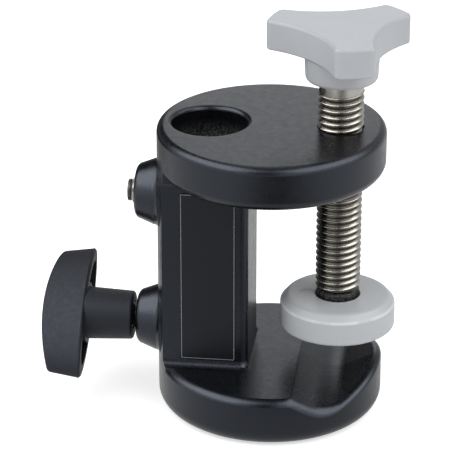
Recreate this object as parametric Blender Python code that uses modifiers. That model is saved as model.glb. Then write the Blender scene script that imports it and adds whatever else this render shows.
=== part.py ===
"""Compact screw clamp with a stud receiver, for hanging lights and grip gear on a tube.

The origin is on the axis of the round frame, at its underside. +X points from the column
to the clamp screw, +Z points up. Units are metres.
"""
import math

import bmesh
import bpy
from mathutils import Vector

# Clearances
FIT_GAP = 0.0003          # between pieces that touch, and round every shaft
LABEL_GAP = 0.0001        # glue line under the label

# Cast frame
FRAME_RADIUS = 0.0250
FRAME_HEIGHT = 0.0664
PLATE_THICKNESS = 0.0108
JAW_THICKNESS = 0.0118
PLATE_TOP_ROUND = 0.0017
PLATE_UNDER_ROUND = 0.0035
JAW_RIM_ROUND = 0.0013
BASE_ROUND = 0.0037
COLUMN_CORNER_ROUND = 0.0018
COLUMN_FILLET = 0.0012
FACE_FILLET_SHARE = 0.2     # how much of it there is on the face towards the screw

# Saddle groove across the lower jaw
GROOVE_START = 0.0081     # from the screw's axis back to the groove's first edge
GROOVE_SHIFT = 0.0003     # from the screw's axis back to the groove's lowest line
GROOVE_DEPTH = 0.0033
GROOVE_ROUND = 0.0070
GROOVE_RIGHT_SLOPE = math.radians(27)
FLOOR_DRAFT = 0.020       # fall per unit of distance to the front of the middle, on the flat floor
GROOVE_DRAFT_GAIN = 3.3   # extra fall per metre beyond the groove's start

# Stud receiver through the column, and the walls round it
RECEIVER_RADIUS = 0.00825
RECEIVER_MOUTH_ROUND = 0.0010
OUTER_WALL = 0.00325      # towards the bosses
INNER_WALL = 0.00125      # towards the screw
SIDE_WALL = 0.00175

# Bosses on the column's outer side
LOCK_Z = 0.0184
SAFETY_DROP = 0.0173      # from the plate's top down to the upper boss
BOSS_FACE_RADIUS = 0.0063
BOSS_ROOT_RADIUS = 0.0074
BOSS_FLARE_RADIUS = 0.0085
BOSS_FLARE_SINK = 0.0008  # how far the flare goes below the column's outermost line
BOSS_HEIGHT = 0.0048
BOSS_EDGE_ROUND = 0.0016
BOSS_FLANK_ANGLE = 12     # degrees, where the rounded edge ends on the conical flank

# Clamp screw
SCREW_INSET = 0.0100      # from the frame's outline in to the screw's axis
SCREW_RADIUS = 0.0050
SCREW_PITCH = 0.0015
NECK_RADIUS = 0.0048
NECK_LENGTH = 0.0021
NECK_OVERLAP = 0.0005     # how far the neck runs into the end of the thread
THREAD_CHAMFER = 0.0006
THREAD_DEPTH = 0.6134     # in pitches, for a 60 degree thread
THREAD_CREST = 0.125      # in pitches
SCREW_HOLE_MOUTH = 0.0003
EXPOSED_LENGTH = 0.0109   # from the plate to the handle's hub
HUB_SPIGOT_RADIUS = 0.0040
HUB_SPIGOT_LENGTH = 0.0085
JOURNAL_RADIUS = 0.0030
KEEPER_HOLE_DEPTH = 0.0065

# Three-lobed handle
HUB_RADIUS = 0.0081
HUB_HEIGHT = 0.0125
HUB_EDGE_ROUND = 0.0010
LOBE_COUNT = 3
LOBE_REACH = 0.0162
LOBE_WIDTH = 0.0088
LOBE_THICKNESS = 0.0067
LOBE_CORNER_ROUND = 0.0014
LOBE_EDGE_ROUND = 0.0009
LOBE_VALLEY_RADIUS = 0.0088
LOBE_ANGLE = math.radians(-75.5)

# Pressure pad and what keeps it on the screw
PAD_RADIUS = 0.01275
PAD_THICKNESS = 0.0072
JAW_OPENING = 0.0076      # from the jaw's floor to the pad
PAD_BOTTOM_ROUND = 0.0014
PAD_TOP_BEVEL = 0.0020
PAD_TOP_BEVEL_DROP = 0.0015
PAD_TOP_RECESS = 0.0010
PAD_WEB = 0.0026
COLLAR_RADIUS = 0.0049
COLLAR_THICKNESS = 0.0023
KEEPER_WASHER_RADIUS = 0.0048
KEEPER_WASHER_THICKNESS = 0.0007
KEEPER_SHANK_RADIUS = 0.0015
KEEPER_HEAD_RADIUS = 0.0028
KEEPER_HEAD_HEIGHT = 0.0013
KEEPER_SOCKET_RADIUS = 0.0012
KEEPER_SOCKET_DEPTH = 0.0007

# T-knob, its stud and the brass shoe
KNOB_GAP = 0.00075        # between the knob's stem and the boss
STEM_TIP_RADIUS = 0.0055
STEM_ROOT_RADIUS = 0.0059
STEM_LENGTH = 0.01065
BAR_LENGTH = 0.0328
BAR_WIDTH = 0.0122
BAR_OVAL = 1.8            # power of the oval, 2 for an ellipse and less for a more pointed one
BAR_DRAFT = math.radians(8.6)
BAR_END_HEIGHT = 0.0072
BAR_HEIGHT = 0.0099
BAR_EDGE_ROUND = 0.0007
BAR_WALL = 0.0015
STEM_SINK = 0.0005        # how far the stem runs into the bar
POCKET_WEB = 0.0009       # between the stem and the hollows under the bar
POCKET_DEPTH = 0.0050
BAR_ANGLE = math.radians(53.1)
STUD_RADIUS = 0.0030
STUD_PITCH = 0.0010
STUD_IN_KNOB = 0.0120
STUD_TIP_RADIUS = 0.0013
STUD_TIP_LENGTH = 0.0012
SHOE_LENGTH = 0.0030
SHOE_REACH = 0.0015       # how far the shoe stands inside the receiver

# Sprung safety pin
BUTTON_RADIUS = 0.00245
BUTTON_THICKNESS = 0.0008
BUTTON_EDGE_ROUND = 0.0003
BUSH_FLANGE_RADIUS = 0.0028
BUSH_FLANGE_THICKNESS = 0.0004
BUSH_LENGTH = 0.0012
SPRING_CHAMBER_RADIUS = 0.0026
PIN_TIP_RADIUS = 0.0015
PIN_STEM_RADIUS = 0.0010
PIN_COLLAR_THICKNESS = 0.0008
PIN_REACH = 0.0013        # how far the pin stands inside the receiver
PIN_GUIDE_LENGTH = 0.0024 # wall between the spring chamber and the receiver
SPRING_WIRE_RADIUS = 0.0002
SPRING_TURNS = 3.0

# Label on the column's front face
LABEL_WIDTH = 0.0122
LABEL_THICKNESS = 0.0002
LABEL_SHIFT = 0.0007      # from the receiver's axis towards the screw
LABEL_FOOT_MARGIN = 0.0016
LABEL_HEAD_MARGIN = 0.0026
LABEL_CORNER_ROUND = 0.0005

# Facets in a full turn
FRAME_FACETS = 48
ROUND_FACETS = 32
SMALL_FACETS = 16
HEX = 6
THREAD_STEPS = 16
STUD_STEPS = 10
THREAD_START = math.radians(4)
COIL_STEPS = 10
ARC_STEPS = 3

# Working values
MARGIN = 0.0020           # how far a cutting shape runs past what it cuts
WELD = 1e-7               # how close points are welded
NEAR = 1e-5               # how close a point counts as on a surface
UPRIGHT = 0.9             # rise over length, above which an edge counts as upright
CORNER = math.radians(35) # face angle above which an edge counts as a corner

# Heights and distances that follow from the sizes above
RECEIVER_X = OUTER_WALL + RECEIVER_RADIUS - FRAME_RADIUS
COLUMN_FACE_X = RECEIVER_X + RECEIVER_RADIUS + INNER_WALL
COLUMN_HALF_WIDTH = RECEIVER_RADIUS + SIDE_WALL
SCREW_X = FRAME_RADIUS - SCREW_INSET
GROOVE_START_X = SCREW_X - GROOVE_START
GROOVE_BOTTOM_X = SCREW_X - GROOVE_SHIFT
FLOOR_Z = JAW_THICKNESS
CEILING_Z = FRAME_HEIGHT - PLATE_THICKNESS
SAFETY_Z = FRAME_HEIGHT - SAFETY_DROP
HUB_BOTTOM_Z = FRAME_HEIGHT + EXPOSED_LENGTH
PAD_BOTTOM_Z = FLOOR_Z + JAW_OPENING
PAD_TOP_Z = PAD_BOTTOM_Z + PAD_THICKNESS
RECESS_FLOOR_Z = PAD_TOP_Z - PAD_TOP_RECESS
WEB_BOTTOM_Z = RECESS_FLOOR_Z - PAD_WEB
COLLAR_BOTTOM_Z = RECESS_FLOOR_Z + FIT_GAP
SCREW_SHOULDER_Z = COLLAR_BOTTOM_Z + COLLAR_THICKNESS + FIT_GAP
JOURNAL_END_Z = WEB_BOTTOM_Z
COLUMN_REACH = FRAME_RADIUS + RECEIVER_X
BOSS_FACE_REACH = COLUMN_REACH + BOSS_HEIGHT
CHAMBER_FLOOR = RECEIVER_RADIUS + PIN_GUIDE_LENGTH
SHOE_BACK = RECEIVER_RADIUS - SHOE_REACH + SHOE_LENGTH
KNOB_FOOT = BOSS_FACE_REACH + KNOB_GAP
LABEL_FOOT_Z = FLOOR_Z + LABEL_FOOT_MARGIN
LABEL_HEIGHT = CEILING_Z - LABEL_HEAD_MARGIN - LABEL_FOOT_Z


def clear_scene():
    """Remove what the scene holds."""
    for old in list(bpy.data.objects):
        bpy.data.objects.remove(old, do_unlink=True)


def new_collection(name):
    """A collection linked to the scene."""
    made = bpy.data.collections.new(name)
    bpy.context.scene.collection.children.link(made)
    return made


def material(name, color, roughness, metallic):
    """A Principled material of one finish."""
    made = bpy.data.materials.new(name)
    made.use_nodes = True
    shader = made.node_tree.nodes["Principled BSDF"]
    shader.inputs["Base Color"].default_value = (*color, 1.0)
    shader.inputs["Roughness"].default_value = roughness
    shader.inputs["Metallic"].default_value = metallic
    return made


def empty(name, location, rotation=(0.0, 0.0, 0.0)):
    """An axis that pieces hang on."""
    made = bpy.data.objects.new(name, None)
    made.location = location
    made.rotation_euler = rotation
    PARTS.objects.link(made)
    return made


def mesh_object(name, mesh, parent=None):
    """An object of this mesh among the working shapes, on its parent's axis."""
    made = bpy.data.objects.new(name, mesh)
    CUTTERS.objects.link(made)
    made.parent = parent
    return made


def bake(obj):
    """Replace an object by its evaluated mesh, with the caps of a curve welded."""
    bpy.context.view_layer.update()
    evaluated = obj.evaluated_get(bpy.context.evaluated_depsgraph_get())
    mesh = bpy.data.meshes.new_from_object(evaluated)
    shape = bmesh.new()
    shape.from_mesh(mesh)
    bmesh.ops.remove_doubles(shape, verts=shape.verts, dist=WELD)
    shape.to_mesh(mesh)
    shape.free()
    made = mesh_object(obj.name + "_shape", mesh, obj.parent)
    made.matrix_local = obj.matrix_local
    bpy.data.objects.remove(obj, do_unlink=True)
    return made


def cut(target, tool, operation="DIFFERENCE"):
    """Boolean of two shapes. Both are used up, and the result is returned."""
    join = target.modifiers.new("boolean", "BOOLEAN")
    join.operation = operation
    join.object = tool
    made = bake(target)
    bpy.data.objects.remove(tool, do_unlink=True)
    return made


def part(shape, name, finish):
    """Turn a finished shape into the named piece."""
    CUTTERS.objects.unlink(shape)
    PARTS.objects.link(shape)
    shape.name = name
    shape.data.name = name
    shape.data.materials.clear()
    shape.data.materials.append(finish)
    shape.data.shade_smooth()
    shape.data.set_sharp_from_angle(angle=CORNER)
    return shape


def arc(center, radius, start, end, steps=ARC_STEPS):
    """Points on an arc in a profile plane, from one angle in degrees to another."""
    points = []
    for step in range(steps + 1):
        angle = math.radians(start + (end - start) * step / steps)
        points.append((center[0] + radius * math.cos(angle), center[1] + radius * math.sin(angle)))
    return points


def lathe(name, profile, facets=ROUND_FACETS, closed=False, parent=None, place=(0.0, 0.0, 0.0)):
    """Turn a profile of (radius, height) points about Z. A ring's profile is closed."""
    mesh = bpy.data.meshes.new(name)
    shape = bmesh.new()
    points = [shape.verts.new((radius, 0.0, height)) for radius, height in profile]
    for first, second in zip(points, points[1:]):
        shape.edges.new((first, second))
    if closed:
        shape.edges.new((points[-1], points[0]))
    shape.to_mesh(mesh)
    shape.free()
    turned = mesh_object(name, mesh, parent)
    turned.location = place
    turn = turned.modifiers.new("turn", "SCREW")
    turn.steps = facets
    turn.render_steps = facets
    turn.use_merge_vertices = True
    turn.merge_threshold = WELD
    return bake(turned)


def ring(name, inner, outer, low, high, facets=ROUND_FACETS, **where):
    """A plain washer or sleeve."""
    return lathe(name, [(inner, high), (outer, high), (outer, low), (inner, low)], facets, True, **where)


def rod(name, radius, low, high, facets=ROUND_FACETS, **where):
    """A plain round bar."""
    return lathe(name, [(0.0, high), (radius, high), (radius, low), (0.0, low)], facets, **where)


def loft(name, sections, parent=None):
    """A solid skinned over closed sections that have equally many points."""
    mesh = bpy.data.meshes.new(name)
    shape = bmesh.new()
    loops = [[shape.verts.new(point) for point in section] for section in sections]
    for lower, upper in zip(loops, loops[1:]):
        for i in range(len(lower)):
            shape.faces.new((lower[i - 1], lower[i], upper[i], upper[i - 1]))
    shape.faces.new(loops[0])
    shape.faces.new(loops[-1])
    bmesh.ops.recalc_face_normals(shape, faces=shape.faces)
    shape.to_mesh(mesh)
    shape.free()
    return mesh_object(name, mesh, parent)


def slab(name, outline, low, high, edge_round=0.0, parent=None):
    """A flat outline of (x, y) points, thickened from low to high, with its edges rounded."""
    curve = bpy.data.curves.new(name, "CURVE")
    curve.dimensions = "2D"
    curve.fill_mode = "BOTH"
    curve.extrude = (high - low) / 2 - edge_round
    curve.bevel_depth = edge_round
    curve.bevel_resolution = 1
    curve.offset = -edge_round
    spline = curve.splines.new("POLY")
    spline.points.add(len(outline) - 1)
    for point, (x, y) in zip(spline.points, outline):
        point.co = (x, y, 0.0, 1.0)
    spline.use_cyclic_u = True
    flat = bpy.data.objects.new(name, curve)
    CUTTERS.objects.link(flat)
    flat.parent = parent
    flat.location = (0.0, 0.0, (low + high) / 2)
    return bake(flat)


def thread(name, radius, pitch, low, high, steps, parent):
    """A screw blank with a helical 60 degree thread, a turn longer than asked at both ends."""
    depth = THREAD_DEPTH * pitch
    crest = THREAD_CREST * pitch
    turns = math.ceil((high - low) / pitch) + 3
    base = low - 2 * pitch
    profile = [(0.0, base + turns * pitch)]
    for turn in reversed(range(turns)):
        start = base + turn * pitch
        profile += [(radius, start + pitch / 2 + crest / 2), (radius, start + pitch / 2 - crest / 2)]
        profile += [(radius - depth, start)]
    profile.insert(1, (radius - depth, base + turns * pitch))
    profile.append((0.0, base))
    mesh = bpy.data.meshes.new(name)
    shape = bmesh.new()
    points = [shape.verts.new((across, 0.0, height)) for across, height in profile]
    for first, second in zip(points, points[1:]):
        shape.edges.new((first, second))
    shape.to_mesh(mesh)
    shape.free()
    turned = mesh_object(name, mesh, parent)
    turned.rotation_euler.z = THREAD_START
    turn = turned.modifiers.new("thread", "SCREW")
    turn.screw_offset = pitch
    turn.steps = steps
    turn.render_steps = steps
    turn.use_merge_vertices = True
    turn.merge_threshold = WELD
    made = bake(turned)
    shape = bmesh.new()
    shape.from_mesh(made.data)
    bmesh.ops.holes_fill(shape, edges=[edge for edge in shape.edges if edge.is_boundary], sides=0)
    bmesh.ops.recalc_face_normals(shape, faces=shape.faces)
    shape.to_mesh(made.data)
    shape.free()
    return made


def jaw_section(distance):
    """The open throat seen along Y, at this distance from the middle: jaw, then ceiling."""
    end = FRAME_RADIUS + MARGIN
    bottom = Vector((GROOVE_BOTTOM_X, FLOOR_Z - GROOVE_DEPTH + GROOVE_ROUND))
    start = Vector((GROOVE_START_X, FLOOR_Z))
    toward = bottom - start
    left_slope = math.asin(GROOVE_ROUND / toward.length) - math.atan2(toward.y, toward.x)
    left, right = math.degrees(left_slope), math.degrees(GROOVE_RIGHT_SLOPE)
    points = [(-end, FLOOR_Z), tuple(start)]
    points += arc(bottom, GROOVE_ROUND, 270 - left, 270 + right, 2 * ARC_STEPS)
    run_out = end - points[-1][0]
    points.append((end, points[-1][1] + run_out * math.tan(GROOVE_RIGHT_SLOPE)))
    fallen = []
    for x, z in points:
        draft = FLOOR_DRAFT + GROOVE_DRAFT_GAIN * max(0.0, x - GROOVE_START_X)
        fallen.append((x, z - draft * max(0.0, -distance)))
    fallen += [(end, CEILING_Z), (-end, CEILING_Z)]
    return [(x, distance, z) for x, z in fallen]


def column_section(grow, height):
    """The column's outline at this height, grown outwards by its fillet."""
    half = COLUMN_HALF_WIDTH + grow
    corner = COLUMN_CORNER_ROUND
    center_x = COLUMN_FACE_X + grow * FACE_FILLET_SHARE - corner
    outline = [(-FRAME_RADIUS - 2 * MARGIN, -half)]
    outline += arc((center_x, corner - half), corner, -90, 0)
    outline += arc((center_x, half - corner), corner, 0, 90)
    outline.append((-FRAME_RADIUS - 2 * MARGIN, half))
    return [(x, y, height) for x, y in outline]


def column():
    """The column with its fillets into the jaw and the plate, for taking out of the throat."""
    floor = FLOOR_Z - FLOOR_DRAFT * (COLUMN_HALF_WIDTH + COLUMN_FILLET)
    fillet = arc((COLUMN_FILLET, COLUMN_FILLET), COLUMN_FILLET, 270, 180)
    sections = [column_section(COLUMN_FILLET, floor - MARGIN)]
    sections += [column_section(grow, floor + rise) for grow, rise in fillet]
    sections += [column_section(grow, CEILING_Z - rise) for grow, rise in reversed(fillet)]
    sections.append(column_section(COLUMN_FILLET, CEILING_Z + PLATE_UNDER_ROUND + MARGIN))
    return loft("column", sections)


def plate_rim():
    """What lies outside the plate's rounded lower rim, for taking off with the throat."""
    inner, outer = FRAME_RADIUS - PLATE_UNDER_ROUND, FRAME_RADIUS + MARGIN
    low, high = CEILING_Z - MARGIN, CEILING_Z + PLATE_UNDER_ROUND
    profile = [(outer, low), (inner, low), *arc((inner, high), PLATE_UNDER_ROUND, 270, 360), (outer, high)]
    return lathe("plate_rim", profile[::-1], FRAME_FACETS, True)


def round_jaw(shape):
    """Round the jaw's upper rim."""
    mesh = bmesh.new()
    mesh.from_mesh(shape.data)
    chord = FRAME_RADIUS * math.cos(math.pi / FRAME_FACETS) - NEAR
    rim = []
    for edge in mesh.edges:
        ends = [vertex.co for vertex in edge.verts]
        outside = all(math.hypot(end.x, end.y) > chord for end in ends)
        level = all(BASE_ROUND + NEAR < end.z < CEILING_Z - COLUMN_FILLET for end in ends)
        upright = abs(ends[0].z - ends[1].z) > UPRIGHT * edge.calc_length()
        if outside and level and not upright:
            rim.append(edge)
    bmesh.ops.bevel(
        mesh, geom=rim, offset=JAW_RIM_ROUND, segments=ARC_STEPS, profile=0.5,
        affect="EDGES", clamp_overlap=True,
    )
    mesh.to_mesh(shape.data)
    mesh.free()


def boss(name, axis):
    """A round boss on the column, its root sunk into the casting."""
    face, root = BOSS_FACE_REACH, COLUMN_REACH
    profile = [(0.0, face)]
    edge_center = BOSS_FACE_RADIUS - BOSS_EDGE_ROUND, face - BOSS_EDGE_ROUND
    profile += arc(edge_center, BOSS_EDGE_ROUND, 90, BOSS_FLANK_ANGLE)
    flare = BOSS_FLARE_RADIUS - BOSS_ROOT_RADIUS
    profile += arc((BOSS_FLARE_RADIUS, root + flare - BOSS_FLARE_SINK), flare, 180, 270)
    profile += [(BOSS_FLARE_RADIUS, RECEIVER_RADIUS), (0.0, RECEIVER_RADIUS)]
    return lathe(name, profile, parent=axis)


def bore(name, radius, low, high, mouth, facets, place):
    """A through hole along Z with rounded mouths, for cutting."""
    top = arc((radius + mouth, high - mouth), mouth, 90, 180)
    bottom = arc((radius + mouth, low + mouth), mouth, 180, 270)
    wide = radius + mouth
    profile = [(0.0, high + MARGIN), (wide, high + MARGIN), *top]
    profile += [*bottom, (wide, low - MARGIN), (0.0, low - MARGIN)]
    return lathe(name, profile, facets, place=place)


def clamp_body():
    """The cast frame: a rounded drum with its throat cut out, two bosses and its bores."""
    profile = [(0.0, FRAME_HEIGHT)]
    top_center = FRAME_RADIUS - PLATE_TOP_ROUND, FRAME_HEIGHT - PLATE_TOP_ROUND
    profile += arc(top_center, PLATE_TOP_ROUND, 90, 0)
    profile += arc((FRAME_RADIUS - BASE_ROUND, BASE_ROUND), BASE_ROUND, 0, -90)
    profile.append((0.0, 0.0))
    body = lathe("drum", profile, FRAME_FACETS)
    span = FRAME_RADIUS + MARGIN
    throat = loft("throat", [jaw_section(-span), jaw_section(0.0), jaw_section(span)])
    throat = cut(throat, plate_rim(), "UNION")
    body = cut(body, cut(throat, column()))
    round_jaw(body)
    body = cut(body, boss("lock_boss", LOCK_AXIS), "UNION")
    body = cut(body, boss("safety_boss", SAFETY_AXIS), "UNION")
    receiver = bore(
        "receiver", RECEIVER_RADIUS, 0.0, FRAME_HEIGHT, RECEIVER_MOUTH_ROUND, ROUND_FACETS,
        (RECEIVER_X, 0.0, 0.0),
    )
    body = cut(body, receiver)
    screw_hole = bore(
        "screw_hole", SCREW_RADIUS + FIT_GAP, CEILING_Z, FRAME_HEIGHT, SCREW_HOLE_MOUTH, ROUND_FACETS,
        (SCREW_X, 0.0, 0.0),
    )
    body = cut(body, screw_hole)
    outside = BOSS_FACE_REACH + MARGIN
    for name, radius, low, axis in (
        ("stud_hole", STUD_RADIUS + FIT_GAP, 0.0, LOCK_AXIS),
        ("spring_chamber", SPRING_CHAMBER_RADIUS, CHAMBER_FLOOR, SAFETY_AXIS),
        ("pin_guide", PIN_TIP_RADIUS + FIT_GAP, 0.0, SAFETY_AXIS),
    ):
        body = cut(body, rod(name, radius, low, outside, SMALL_FACETS, parent=axis))
    part(body, "clamp_body", CASTING)


def clamp_screw():
    """The steel screw: thread, plain neck, spigot in the handle and journal in the pad."""
    neck_top = HUB_BOTTOM_Z - FIT_GAP
    top = neck_top - NECK_LENGTH
    shape = thread("thread", SCREW_RADIUS, SCREW_PITCH, JOURNAL_END_Z, top, THREAD_STEPS, SCREW_AXIS)
    wide = SCREW_RADIUS + MARGIN
    chamfer_start = SCREW_RADIUS - THREAD_CHAMFER
    hole_radius = KEEPER_SHANK_RADIUS + FIT_GAP
    hole_top = JOURNAL_END_Z + KEEPER_HOLE_DEPTH
    envelope = [(0.0, top), (wide, top), (wide, SCREW_SHOULDER_Z + wide - chamfer_start)]
    envelope += [(chamfer_start, SCREW_SHOULDER_Z), (JOURNAL_RADIUS, SCREW_SHOULDER_Z)]
    envelope += [(JOURNAL_RADIUS, JOURNAL_END_Z), (hole_radius, JOURNAL_END_Z)]
    envelope += [(hole_radius, hole_top), (0.0, hole_top)]
    shape = cut(shape, lathe("envelope", envelope, parent=SCREW_AXIS), "INTERSECT")
    spigot_top = HUB_BOTTOM_Z + HUB_SPIGOT_LENGTH
    neck = [(0.0, spigot_top), (HUB_SPIGOT_RADIUS, spigot_top), (HUB_SPIGOT_RADIUS, neck_top)]
    neck += [(NECK_RADIUS, neck_top), (NECK_RADIUS, top - NECK_OVERLAP), (0.0, top - NECK_OVERLAP)]
    shape = cut(shape, lathe("neck", neck, parent=SCREW_AXIS), "UNION")
    part(shape, "clamp_screw", STEEL)


def handle_outline():
    """The handle from above: flat lobe ends with rounded corners, joined by concave sides."""
    half, corner = LOBE_WIDTH / 2, LOBE_CORNER_ROUND
    spread = math.pi / LOBE_COUNT
    end = arc((LOBE_REACH - corner, corner - half), corner, -90, 0)
    end += arc((LOBE_REACH - corner, half - corner), corner, 0, 90)
    last = Vector(end[-1])
    along = last.x * math.cos(spread) + last.y * math.sin(spread)
    across = last.x * math.sin(spread) - last.y * math.cos(spread)
    center = (LOBE_VALLEY_RADIUS ** 2 - last.length_squared) / (2 * (LOBE_VALLEY_RADIUS - along))
    swing = math.degrees(math.atan2(across, center - along))
    side = arc((center, 0.0), center - LOBE_VALLEY_RADIUS, 180 + swing, 180 - swing, 3 * ARC_STEPS)
    outline = []
    for lobe in range(LOBE_COUNT):
        turn = LOBE_ANGLE + 2 * spread * lobe
        outline += [turned(point, turn) for point in end]
        outline += [turned(point, turn + spread) for point in side[1:-1]]
    return outline


def turned(point, angle):
    """A point turned about the origin."""
    x, y = point
    return x * math.cos(angle) - y * math.sin(angle), x * math.sin(angle) + y * math.cos(angle)


def screw_handle():
    """The plastic handle: a lobed slab on a round hub that is moulded over the screw's spigot."""
    top = HUB_BOTTOM_Z + HUB_HEIGHT
    hub_top = top - LOBE_EDGE_ROUND
    hub = [(0.0, hub_top), (HUB_RADIUS, hub_top)]
    hub += arc((HUB_RADIUS - HUB_EDGE_ROUND, HUB_BOTTOM_Z + HUB_EDGE_ROUND), HUB_EDGE_ROUND, 0, -90)
    hub.append((0.0, HUB_BOTTOM_Z))
    lobes = slab("lobes", handle_outline(), top - LOBE_THICKNESS, top, LOBE_EDGE_ROUND, SCREW_AXIS)
    shape = cut(lobes, lathe("hub", hub, parent=SCREW_AXIS), "UNION")
    socket_top = HUB_BOTTOM_Z + HUB_SPIGOT_LENGTH + FIT_GAP
    socket_radius = HUB_SPIGOT_RADIUS + FIT_GAP
    socket = rod("socket", socket_radius, HUB_BOTTOM_Z - MARGIN, socket_top, parent=SCREW_AXIS)
    part(cut(shape, socket), "screw_handle", GREY_PLASTIC)


def pressure_pad():
    """The round pad: a recess for the collar above, one for the keeper below, a web between."""
    top_recess = COLLAR_RADIUS + FIT_GAP
    low_recess = KEEPER_WASHER_RADIUS + FIT_GAP
    hole = JOURNAL_RADIUS + FIT_GAP
    profile = [(top_recess, PAD_TOP_Z), (PAD_RADIUS - PAD_TOP_BEVEL, PAD_TOP_Z)]
    profile.append((PAD_RADIUS, PAD_TOP_Z - PAD_TOP_BEVEL_DROP))
    bottom_center = PAD_RADIUS - PAD_BOTTOM_ROUND, PAD_BOTTOM_Z + PAD_BOTTOM_ROUND
    profile += arc(bottom_center, PAD_BOTTOM_ROUND, 0, -90)
    profile += [(low_recess, PAD_BOTTOM_Z), (low_recess, WEB_BOTTOM_Z), (hole, WEB_BOTTOM_Z)]
    profile += [(hole, RECESS_FLOOR_Z), (top_recess, RECESS_FLOOR_Z)]
    part(lathe("pad", profile, FRAME_FACETS, True, SCREW_AXIS), "pressure_pad", PALE_PLASTIC)


def pad_fixings():
    """The collar above the pad's web, and the washer and screw that keep the pad on."""
    hole = JOURNAL_RADIUS + FIT_GAP
    collar_top = COLLAR_BOTTOM_Z + COLLAR_THICKNESS
    collar = ring("collar", hole, COLLAR_RADIUS, COLLAR_BOTTOM_Z, collar_top, parent=SCREW_AXIS)
    part(collar, "thrust_collar", DARK_NYLON)
    washer_top = JOURNAL_END_Z - FIT_GAP
    washer_bottom = washer_top - KEEPER_WASHER_THICKNESS
    washer_hole = KEEPER_SHANK_RADIUS + FIT_GAP
    washer = ring(
        "washer", washer_hole, KEEPER_WASHER_RADIUS, washer_bottom, washer_top, parent=SCREW_AXIS
    )
    part(washer, "keeper_washer", STEEL)
    seat = washer_bottom - FIT_GAP
    head = seat - KEEPER_HEAD_HEIGHT
    shank_top = JOURNAL_END_Z + KEEPER_HOLE_DEPTH - FIT_GAP
    profile = [(0.0, shank_top), (KEEPER_SHANK_RADIUS, shank_top), (KEEPER_SHANK_RADIUS, seat)]
    profile += [(KEEPER_HEAD_RADIUS, seat), (KEEPER_HEAD_RADIUS, head), (0.0, head)]
    screw = lathe("screw", profile, SMALL_FACETS, parent=SCREW_AXIS)
    socket_top = head + KEEPER_SOCKET_DEPTH
    socket = rod("socket", KEEPER_SOCKET_RADIUS, head - MARGIN, socket_top, HEX, parent=SCREW_AXIS)
    part(cut(screw, socket), "keeper_screw", STEEL)


def bar_section(inset, height):
    """The T-knob's bar from outside at this height: an oval with pointed ends."""
    outline = []
    for step in range(ROUND_FACETS):
        angle = 2 * math.pi * step / ROUND_FACETS
        along, across = math.cos(angle), math.sin(angle)
        x = (BAR_LENGTH / 2 - inset) * math.copysign(abs(along) ** (2 / BAR_OVAL), along)
        y = (BAR_WIDTH / 2 - inset) * math.copysign(abs(across) ** (2 / BAR_OVAL), across)
        outline.append((x, y, height))
    return outline


def bar_crown(base):
    """All that lies under the bar's arched top, seen from its side."""
    half = BAR_LENGTH / 2
    rise = BAR_HEIGHT - BAR_END_HEIGHT
    arch = (half ** 2 + rise ** 2) / (2 * rise)
    center = base + BAR_HEIGHT - arch
    wide = half + MARGIN
    lean = math.degrees(math.acos(wide / arch))
    top = arc((0.0, center), arch, lean, 180 - lean, 4 * ARC_STEPS)
    outline = [(wide, base - MARGIN), *top, (-wide, base - MARGIN)]
    return slab("crown", outline, -BAR_WIDTH, BAR_WIDTH, parent=BAR_PLANE)


def round_crown(bar, base):
    """Round the edge between the bar's sides and its arched top."""
    mesh = bmesh.new()
    mesh.from_mesh(bar.data)
    rim = []
    for edge in mesh.edges:
        above = all(vertex.co.z > base + NEAR for vertex in edge.verts)
        if above and edge.calc_face_angle(0.0) > CORNER:
            rim.append(edge)
    bmesh.ops.bevel(mesh, geom=rim, offset=BAR_EDGE_ROUND, segments=2, profile=0.5, affect="EDGES")
    mesh.to_mesh(bar.data)
    mesh.free()


def t_knob():
    """The plastic T-knob: a tapered stem, an oval bar with an arched top and two hollows below."""
    base = KNOB_FOOT + STEM_LENGTH
    narrowing = BAR_HEIGHT * math.tan(BAR_DRAFT)
    bar = loft("bar", [bar_section(0.0, base), bar_section(narrowing, base + BAR_HEIGHT)], KNOB_AXIS)
    bar = cut(bar, bar_crown(base), "INTERSECT")
    round_crown(bar, base)
    floor, opening = base + POCKET_DEPTH, base - MARGIN
    hollows = loft("hollows", [bar_section(BAR_WALL, opening), bar_section(BAR_WALL, floor)], KNOB_AXIS)
    core = rod("core", STEM_ROOT_RADIUS + POCKET_WEB, opening - MARGIN, floor + MARGIN, parent=KNOB_AXIS)
    bar = cut(bar, cut(hollows, core))
    sunk = base + STEM_SINK
    stem = [(0.0, sunk), (STEM_ROOT_RADIUS, sunk), (STEM_ROOT_RADIUS, base)]
    stem += [(STEM_TIP_RADIUS, KNOB_FOOT), (0.0, KNOB_FOOT)]
    shape = cut(bar, lathe("stem", stem, parent=KNOB_AXIS), "UNION")
    hole_top = KNOB_FOOT + STUD_IN_KNOB + FIT_GAP
    hole_radius = STUD_RADIUS + FIT_GAP
    hole = rod("hole", hole_radius, KNOB_FOOT - MARGIN, hole_top, SMALL_FACETS, parent=KNOB_AXIS)
    part(cut(shape, hole), "t_knob", BLACK_PLASTIC)


def knob_stud():
    """The threaded stud moulded into the knob, with a pip that the shoe sits on."""
    end = KNOB_FOOT + STUD_IN_KNOB
    start = SHOE_BACK + FIT_GAP
    tip = start - STUD_TIP_LENGTH
    shape = thread("stud_thread", STUD_RADIUS, STUD_PITCH, tip, end, STUD_STEPS, KNOB_AXIS)
    wide = STUD_RADIUS + MARGIN
    chamfer_start = STUD_RADIUS - THREAD_CHAMFER
    envelope = [(0.0, end), (wide, end), (wide, start + wide - chamfer_start), (chamfer_start, start)]
    envelope += [(STUD_TIP_RADIUS, start), (STUD_TIP_RADIUS, tip), (0.0, tip)]
    shape = cut(shape, lathe("envelope", envelope, SMALL_FACETS, parent=KNOB_AXIS), "INTERSECT")
    part(shape, "knob_stud", STEEL)


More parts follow.
